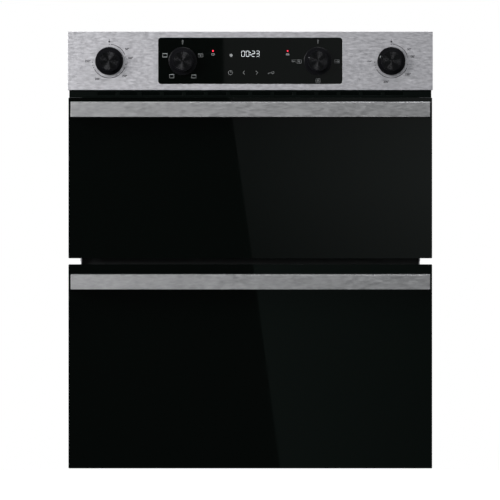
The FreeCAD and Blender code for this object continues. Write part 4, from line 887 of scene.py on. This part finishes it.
# Shares of the radius and of the height, from the seat up to the rim of the recess.
SCREW_PROFILE = ((1.0, 0.0), (1.0, 0.35), (0.93, 0.7), (0.74, 0.95), (0.46, 1.0))
RECESS_ARM, RECESS_CORNER, RECESS_FLOOR = 0.40, 0.14, 0.55


def screw_head(builder, centre, normal, radius):
    """A pan head with a cross recess, standing on a face."""
    normal = Vector(normal)
    side = normal.orthogonal().normalized()
    other = normal.cross(side)

    def ring(reaches, lift):
        made = []
        for step, reach in enumerate(reaches):
            angle = 2 * math.pi * step / SCREW_STEPS
            spoke = side * math.cos(angle) + other * math.sin(angle)
            made.append(builder.verts.new(
                Vector(centre) + spoke * radius * reach + normal * SCREW_HEIGHT * lift))
        return made

    rings = [ring([reach] * SCREW_STEPS, lift) for reach, lift in SCREW_PROFILE]
    cross = [RECESS_ARM if step % 6 in (5, 0, 1) else RECESS_CORNER for step in range(SCREW_STEPS)]
    rings.append(ring(cross, RECESS_FLOOR))
    join_rings(builder, rings)
    builder.faces.new(rings[-1])
    builder.faces.new(rings[0])


def screws(name, places, normal, radius, body="oven_body"):
    builder = bmesh.new()
    for place in places:
        screw_head(builder, place, normal, radius)
    add_piece(name, builder, "hinge_steel", body, sharp=28)


def edges():
    """Small rounds where real sheet, glass and mouldings have them."""
    for level in LEVELS:
        add_bevel(f"{level}_outer_glass", 0.4 * MM)
        add_bevel(f"{level}_inner_glass", 0.4 * MM)
        add_bevel(f"{level}_handle_bar", 0.18 * MM, angle=25.0)
        add_bevel(f"{level}_handle_end_caps", 0.2 * MM, angle=25.0)
        add_bevel(f"{level}_top_profile", 0.35 * MM)
    add_bevel("fascia_panel", 0.18 * MM)
    add_bevel("fascia_glass", 0.2 * MM, angle=60.0)
    add_bevel("vent_trim", 0.2 * MM)
    add_bevel("mounting_ears", 0.2 * MM)


def door_details():
    """The borders printed on the panes, and the screws that hold each door's top profile."""
    for level in LEVELS:
        pane_border(level, "inner", 46 * MM)
        pane_border(level, "outer", 44 * MM)
        low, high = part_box(f"{level}_top_profile")
        places = [(x, (low.y + high.y) / 2, high.z) for x in (low.x + 8 * MM, high.x - 8 * MM)]
        screws(f"{level}_profile_screws", places, (0, 0, 1), 2.6 * MM, f"{level}_door")


# ---- case, back and inside ----------------------------------------------------------------------

OUTLETS = 14
OUTLET_PITCH = 36.0 * MM
OUTLET_HALF_WIDTH = 15.1 * MM
OUTLET_RIM = 3.0 * MM
LOUVRES = 3
LOUVRE_SHEET = 0.4 * MM


def vent_louvres():
    """Slanting slats across each slot of the air outlet: air gets past them, but no view."""
    low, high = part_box("vent_trim")
    bottom = low.z + OUTLET_RIM
    pitch = (high.z - OUTLET_RIM - bottom) / LOUVRES
    rise = pitch + LOUVRE_SHEET / 2
    front = low.y + 0.3 * MM
    back = front + rise
    builder = bmesh.new()
    for outlet in range(OUTLETS):
        middle = (outlet - (OUTLETS - 1) / 2) * OUTLET_PITCH
        for index in range(LOUVRES):
            z = bottom + index * pitch
            section = [(front, z), (front, z + LOUVRE_SHEET), (back, z + rise),
                       (back, z + rise - LOUVRE_SHEET)]
            left, right = ([(x, y, height) for y, height in section]
                           for x in (middle - OUTLET_HALF_WIDTH, middle + OUTLET_HALF_WIDTH))
            prism(builder, left, right)
    add_piece("vent_louvres", builder, "black_plastic", material=TRIM_PLASTIC)


def bead(builder, path, radius, face, flatness, steps, closed=False):
    """A pressed bead along a path on a panel. Face is (axis, place), and the bead is flattened."""
    axis, place = face
    start = len(builder.verts)
    sweep(builder, path, radius, steps, closed)
    builder.verts.ensure_lookup_table()
    for vert in builder.verts[start:]:
        vert.co[axis] = place + (vert.co[axis] - place) * flatness


SIDE_BEAD_HEIGHTS = (60, 180, 420, 560)
REAR_BEAD_FRAMES = (((-235, 120), (95, 205)), ((-235, 120), (445, 555)), ((-235, 235), (240, 420)))
TOP_BEAD_PLACES = (-180, -60, 60, 180)
SEAM_Y = -238.8 * MM


def pressed_panels():
    """Raised pressings on the case: ribs on the sides and the top, framing beads on the rear."""
    ribs = bmesh.new()
    for face in (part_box("left_side_panel")[0].x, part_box("right_side_panel")[1].x):
        for z in SIDE_BEAD_HEIGHTS:
            path = [(face, y * MM, z * MM) for y in (-185, -60, 80, 250)]
            bead(ribs, path, 2.4 * MM, (0, face), 0.45, 12)
        seam = [(face, SEAM_Y, z * MM) for z in (8, 240, 480, 695)]
        sweep(ribs, seam, 0.7 * MM, 8)
    add_piece("side_pressings", ribs, "galvanised_steel", sharp=60)

    frames = bmesh.new()
    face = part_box("rear_panel")[1].y
    for x_span, z_span in REAR_BEAD_FRAMES:
        path = rounded_loop([x * MM for x in x_span], [z * MM for z in z_span], face, 14 * MM, 6)
        bead(frames, path, 2.2 * MM, (1, face), 0.5, 8, closed=True)
    add_piece("rear_pressings", frames, "galvanised_steel", sharp=60)

    ridges = bmesh.new()
    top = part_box("top_panel")[1].z
    for x in TOP_BEAD_PLACES:
        path = [(x * MM, y * MM, top) for y in (-200, -60, 80, 260)]
        bead(ridges, path, 3.0 * MM, (2, top), 0.35, 10)
    add_piece("top_pressings", ridges, "galvanised_steel", sharp=60)


def case_screws():
    """The screws that hold the panels, the terminal cover and the front frame."""
    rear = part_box("rear_panel")[1].y
    places = [(x * MM, rear, z * MM) for x in (-254, 254) for z in (18, 150, 300, 450, 590, 690)]
    places += [(x * MM, rear, z * MM) for x in (-90, 60) for z in (18, 690)]
    screws("rear_screws", places, (0, 1, 0), 3.6 * MM)

    low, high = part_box("terminal_cover")
    margin = 6 * MM
    places = [(x, high.y, z) for x in (low.x + margin, high.x - margin)
              for z in (low.z + margin, high.z - margin)]
    screws("terminal_screws", places, (0, 1, 0), 2.6 * MM)

    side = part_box("right_side_panel")[1].x
    for name, direction in (("left_side_screws", -1), ("right_side_screws", 1)):
        places = [(direction * side, y * MM, z * MM) for y in (-215, 20, 285)
                  for z in (30, 340, 670)]
        screws(name, places, (direction, 0, 0), 3.4 * MM)

    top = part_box("top_panel")[1].z
    places = [(x * MM, y * MM, top) for x in (-262, 262) for y in (-222, 20, 288)]
    screws("top_screws", places, (0, 0, 1), 3.4 * MM)

    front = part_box("front_frame")[0].y
    places = [(x * MM, front, z * MM) for x in (-243, 243) for z in (318, 366, 588)]
    screws("frame_screws", places, (0, -1, 0), 3.2 * MM)


EARTH_BARS = ((5.0 * MM, 0.0), (3.4 * MM, -2.0 * MM), (1.8 * MM, -4.0 * MM))
EARTH_STEM = 5.0 * MM
EARTH_HALF_LINE = 0.4 * MM
EARTH_RAISE = 0.25 * MM


def earth_mark():
    """The earth symbol, raised on the terminal cover."""
    low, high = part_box("terminal_cover")
    x, z = high.x - 14 * MM, (low.z + high.z) / 2
    face, front = high.y, high.y + EARTH_RAISE
    builder = bmesh.new()
    for half_width, lift in EARTH_BARS:
        block(builder, (x - half_width, face, z + lift - EARTH_HALF_LINE),
              (x + half_width, front, z + lift + EARTH_HALF_LINE))
    block(builder, (x - EARTH_HALF_LINE, face, z), (x + EARTH_HALF_LINE, front, z + EARTH_STEM))
    add_piece("earth_symbol", builder, "terminal_plastic")


GLAND_X = 193 * MM
GLAND_Z = 648 * MM
SLEEVE_RADIUS = 7.7 * MM


def gland():
    """A hexagon nut and a soft sleeve round the cable entry."""
    builder = bmesh.new()
    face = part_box("terminal_cover")[1].y
    sleeve = [(SLEEVE_RADIUS, face - 1.0 * MM), (SLEEVE_RADIUS, face + 3.0 * MM),
              (SLEEVE_RADIUS + 1.2 * MM, face + 4.2 * MM),
              (SLEEVE_RADIUS + 2.8 * MM, face + 3.4 * MM), (SLEEVE_RADIUS + 3.0 * MM, face)]
    turned(builder, GLAND_X, GLAND_Z, sleeve, 48)
    nut = [(15.2 * MM, face), (15.2 * MM, face + 1.6 * MM), (14.0 * MM, face + 2.2 * MM),
           (11.0 * MM, face + 2.2 * MM)]
    turned(builder, GLAND_X, GLAND_Z, nut, 6, phase=0.5)
    add_piece("gland_nut", builder, "terminal_plastic")


# ---- stage: floor, lights, camera ---------------------------------------------------------------

FLOOR = -0.10
FLOOR_RADIUS = 2.2
FLOOR_STEPS = 96
PLINTH_LOW = (-0.25, -0.17, FLOOR)
PLINTH_HIGH = (0.25, 0.28, -0.0005)


def stage_paint():
    """A pale matt paint that glows, so that the floor has no dark edge."""
    finish = Finish("StageFloor", Roughness=0.9, Specular_IOR_Level=0.1,
                    Emission_Color=(1, 1, 1, 1), Emission_Strength=0.84)
    mottle = finish.noise((0.8, 0.8, 0.8), detail=2.0)
    stops = [(0.3, (0.6501, 0.6501, 0.6501)), (0.7, (0.66, 0.66, 0.66))]
    return finish.base(finish.colours(mottle, stops)).material


def stage_mesh(name, builder, material):
    mesh = bpy.data.meshes.new(name)
    builder.to_mesh(mesh)
    builder.free()
    mesh.materials.append(material)
    made = bpy.data.objects.new(name, mesh)
    bpy.context.scene.collection.objects.link(made)
    return made


def floor_and_plinth():
    pale = stage_paint()
    ground = bmesh.new()
    turn = [2 * math.pi * index / FLOOR_STEPS for index in range(FLOOR_STEPS)]
    ground.faces.new([ground.verts.new((FLOOR_RADIUS * math.cos(a), FLOOR_RADIUS * math.sin(a),
                                        FLOOR)) for a in turn])
    flooring = stage_mesh("stage_floor", ground, pale)
    plinth = bmesh.new()
    block(plinth, PLINTH_LOW, PLINTH_HIGH)
    support = stage_mesh("stage_plinth", plinth, pale)
    for made in (flooring, support):
        made.visible_diffuse = False
        made.visible_glossy = False
    flooring.visible_shadow = False


def area_light(name, place, target, size, power):
    """A square lamp at a place, turned towards its target."""
    data = bpy.data.lights.new(name, "AREA")
    data.energy = power
    data.size = size
    lamp = bpy.data.objects.new(name, data)
    bpy.context.scene.collection.objects.link(lamp)
    lamp.location = place
    lamp.rotation_mode = "QUATERNION"
    lamp.rotation_quaternion = (Vector(target) - Vector(place)).to_track_quat("-Z", "Y")
    return lamp


def light_only(lamp, nodes):
    """Keeps a lamp's light on these nodes, so that it isn't mirrored in the door glass."""
    lit = bpy.data.collections.new(f"{lamp.name}_lit")
    for node in nodes:
        lit.objects.link(NODES[node])
    lamp.light_linking.receiver_collection = lit


EYE = (-0.0005, -9.308, 0.3555)
CARD_Y = -10.6
# How far the cards are from the camera's image in the doors, over how far the doors are from it.
CARD_SCALE = 2.143
DOOR_REACH = 0.29
LIFTED = 0.05


def on_card(x, z):
    """Where a point of the doors is mirrored from, on the cards behind the camera."""
    return x * CARD_SCALE, CARD_Y, EYE[2] + (z - EYE[2]) * CARD_SCALE


def card(name, outline, tint, middle_glow, edge_glow, depth=LIFTED, fade=None):
    """A sheet the glass mirrors. Its glow changes from the doors' middle to their right edge.

    A fade (low, high, share) makes it glow by that share at height low, and fully at high.
    """
    builder = bmesh.new()
    points = [on_card(x, z) for x, z in outline]
    builder.faces.new([builder.verts.new((x, y + depth, z)) for x, y, z in points])
    finish = Finish(name, Base_Color=(0, 0, 0, 1), Roughness=1.0)
    finish.shader.inputs["Specular IOR Level"].default_value = 0.0
    finish.shader.inputs["Emission Color"].default_value = (*tint, 1)
    across = finish.node("ShaderNodeSeparateXYZ")
    finish.link(finish.place((1 / CARD_SCALE,) * 3), across.inputs["Vector"])
    strength = finish.span(across.outputs["X"], middle_glow, edge_glow, 0.0, DOOR_REACH)
    if fade:
        low, high, share = fade
        lift = EYE[2] * (1 / CARD_SCALE - 1)
        rising = finish.span(across.outputs["Z"], share, 1.0, low + lift, high + lift)
        faded = finish.node("ShaderNodeMath", operation="MULTIPLY")
        finish.link(strength, faded.inputs[0])
        finish.link(rising, faded.inputs[1])
        strength = faded.outputs[0]
    finish.link(strength, finish.shader.inputs["Emission Strength"])
    made = stage_mesh(name, builder, finish.material)
    made.visible_camera = False
    made.visible_diffuse = False
    made.visible_shadow = False
    made.visible_transmission = False


def mirror_cards():
    """What stands behind the camera: a dark left half and a lighter right half, slanting.

    Heights and edges are given where they show on the doors and on the panel.
    """
    low, join, panel, high = -0.9, 0.335, 0.612, 1.6
    edge_low, edge_join, edge_top, edge_panel, edge_high = 0.168, 0.0045, -0.035, -0.042, -0.062
    left, right = -2.2, 2.4
    card("card_dark", [(left, low), (right, low), (right, high), (left, high)],
         (0.9, 1.0, 0.96), 0.030, 0.030, depth=0.0)
    card("card_lower", [(edge_low, low), (right, low), (right, join), (edge_join, join)],
         (0.78, 1.0, 0.93), 0.10, 0.068)
    card("card_upper", [(edge_join, join), (right, join), (right, panel), (edge_top, panel)],
         (0.92, 1.0, 0.98), 0.108, 0.225, fade=(0.345, 0.46, 0.76))
    card("card_panel", [(edge_panel, panel), (right, panel), (right, high), (edge_high, high)],
         (0.96, 1.0, 0.99), 0.16, 0.21)


def background(tree, colour, strength):
    made = tree.nodes.new("ShaderNodeBackground")
    made.inputs["Color"].default_value = (*colour, 1)
    made.inputs["Strength"].default_value = strength
    return made.outputs["Background"]


def world():
    """A cool dim room that lights the oven, with plain white behind it."""
    made = bpy.data.worlds.new("Studio")
    bpy.context.scene.world = made
    made.use_nodes = True
    tree = made.node_tree
    tree.nodes.clear()
    output = tree.nodes.new("ShaderNodeOutputWorld")
    mix = tree.nodes.new("ShaderNodeMixShader")
    path = tree.nodes.new("ShaderNodeLightPath")
    tree.links.new(path.outputs["Is Camera Ray"], mix.inputs["Fac"])
    tree.links.new(background(tree, (0.93, 0.95, 1.0), 0.36), mix.inputs[1])
    tree.links.new(background(tree, (1, 1, 1), 1.0), mix.inputs[2])
    tree.links.new(mix.outputs["Shader"], output.inputs["Surface"])


def lights():
    middle = (0, -0.26, 0.5)
    area_light("key", (-2.6, -2.7, 1.5), middle, 1.8, 190)
    area_light("top", (0.75, -3.0, 3.7), middle, 1.8, 96)
    area_light("fill", (3.4, -3.6, 0.4), middle, 2.2, 9)
    low = area_light("low", (-0.75, -2.9, -0.15), (0, -0.28, 0.3), 0.35, 4)
    light_only(low, ("upper_handle_bar", "lower_handle_bar", "fascia_panel"))
    area_light("overhead", (0, 1.4, 3.4), (0, 0.1, 0.6), 3.4, 26)
    area_light("back_fill", (1.4, 4.2, 2.2), (0, 0.3, 0.4), 3.2, 58)


def camera():
    data = bpy.data.cameras.new("Camera")
    data.lens = 400
    data.sensor_width = 36
    data.clip_end = 60
    made = bpy.data.objects.new("Camera", data)
    bpy.context.scene.collection.objects.link(made)
    made.location = EYE
    made.rotation_euler = (math.radians(90), 0, 0)
    bpy.context.scene.camera = made
    bpy.context.scene.view_settings.view_transform = "Standard"


# ---- build --------------------------------------------------------------------------------------

def build():
    finish_cad_nodes()
    edges()
    for name in CONTROLS:
        knob(name)
    for name in DIAL_NUMBERS:
        temperature_dial(name)
    upper_function_icons()
    lower_function_icons()
    display()
    touch_marks()
    indicator_lenses()
    seals()
    door_details()
    vent_louvres()
    pressed_panels()
    case_screws()
    earth_mark()
    gland()
    floor_and_plinth()
    mirror_cards()
    world()
    lights()
    camera()


build()
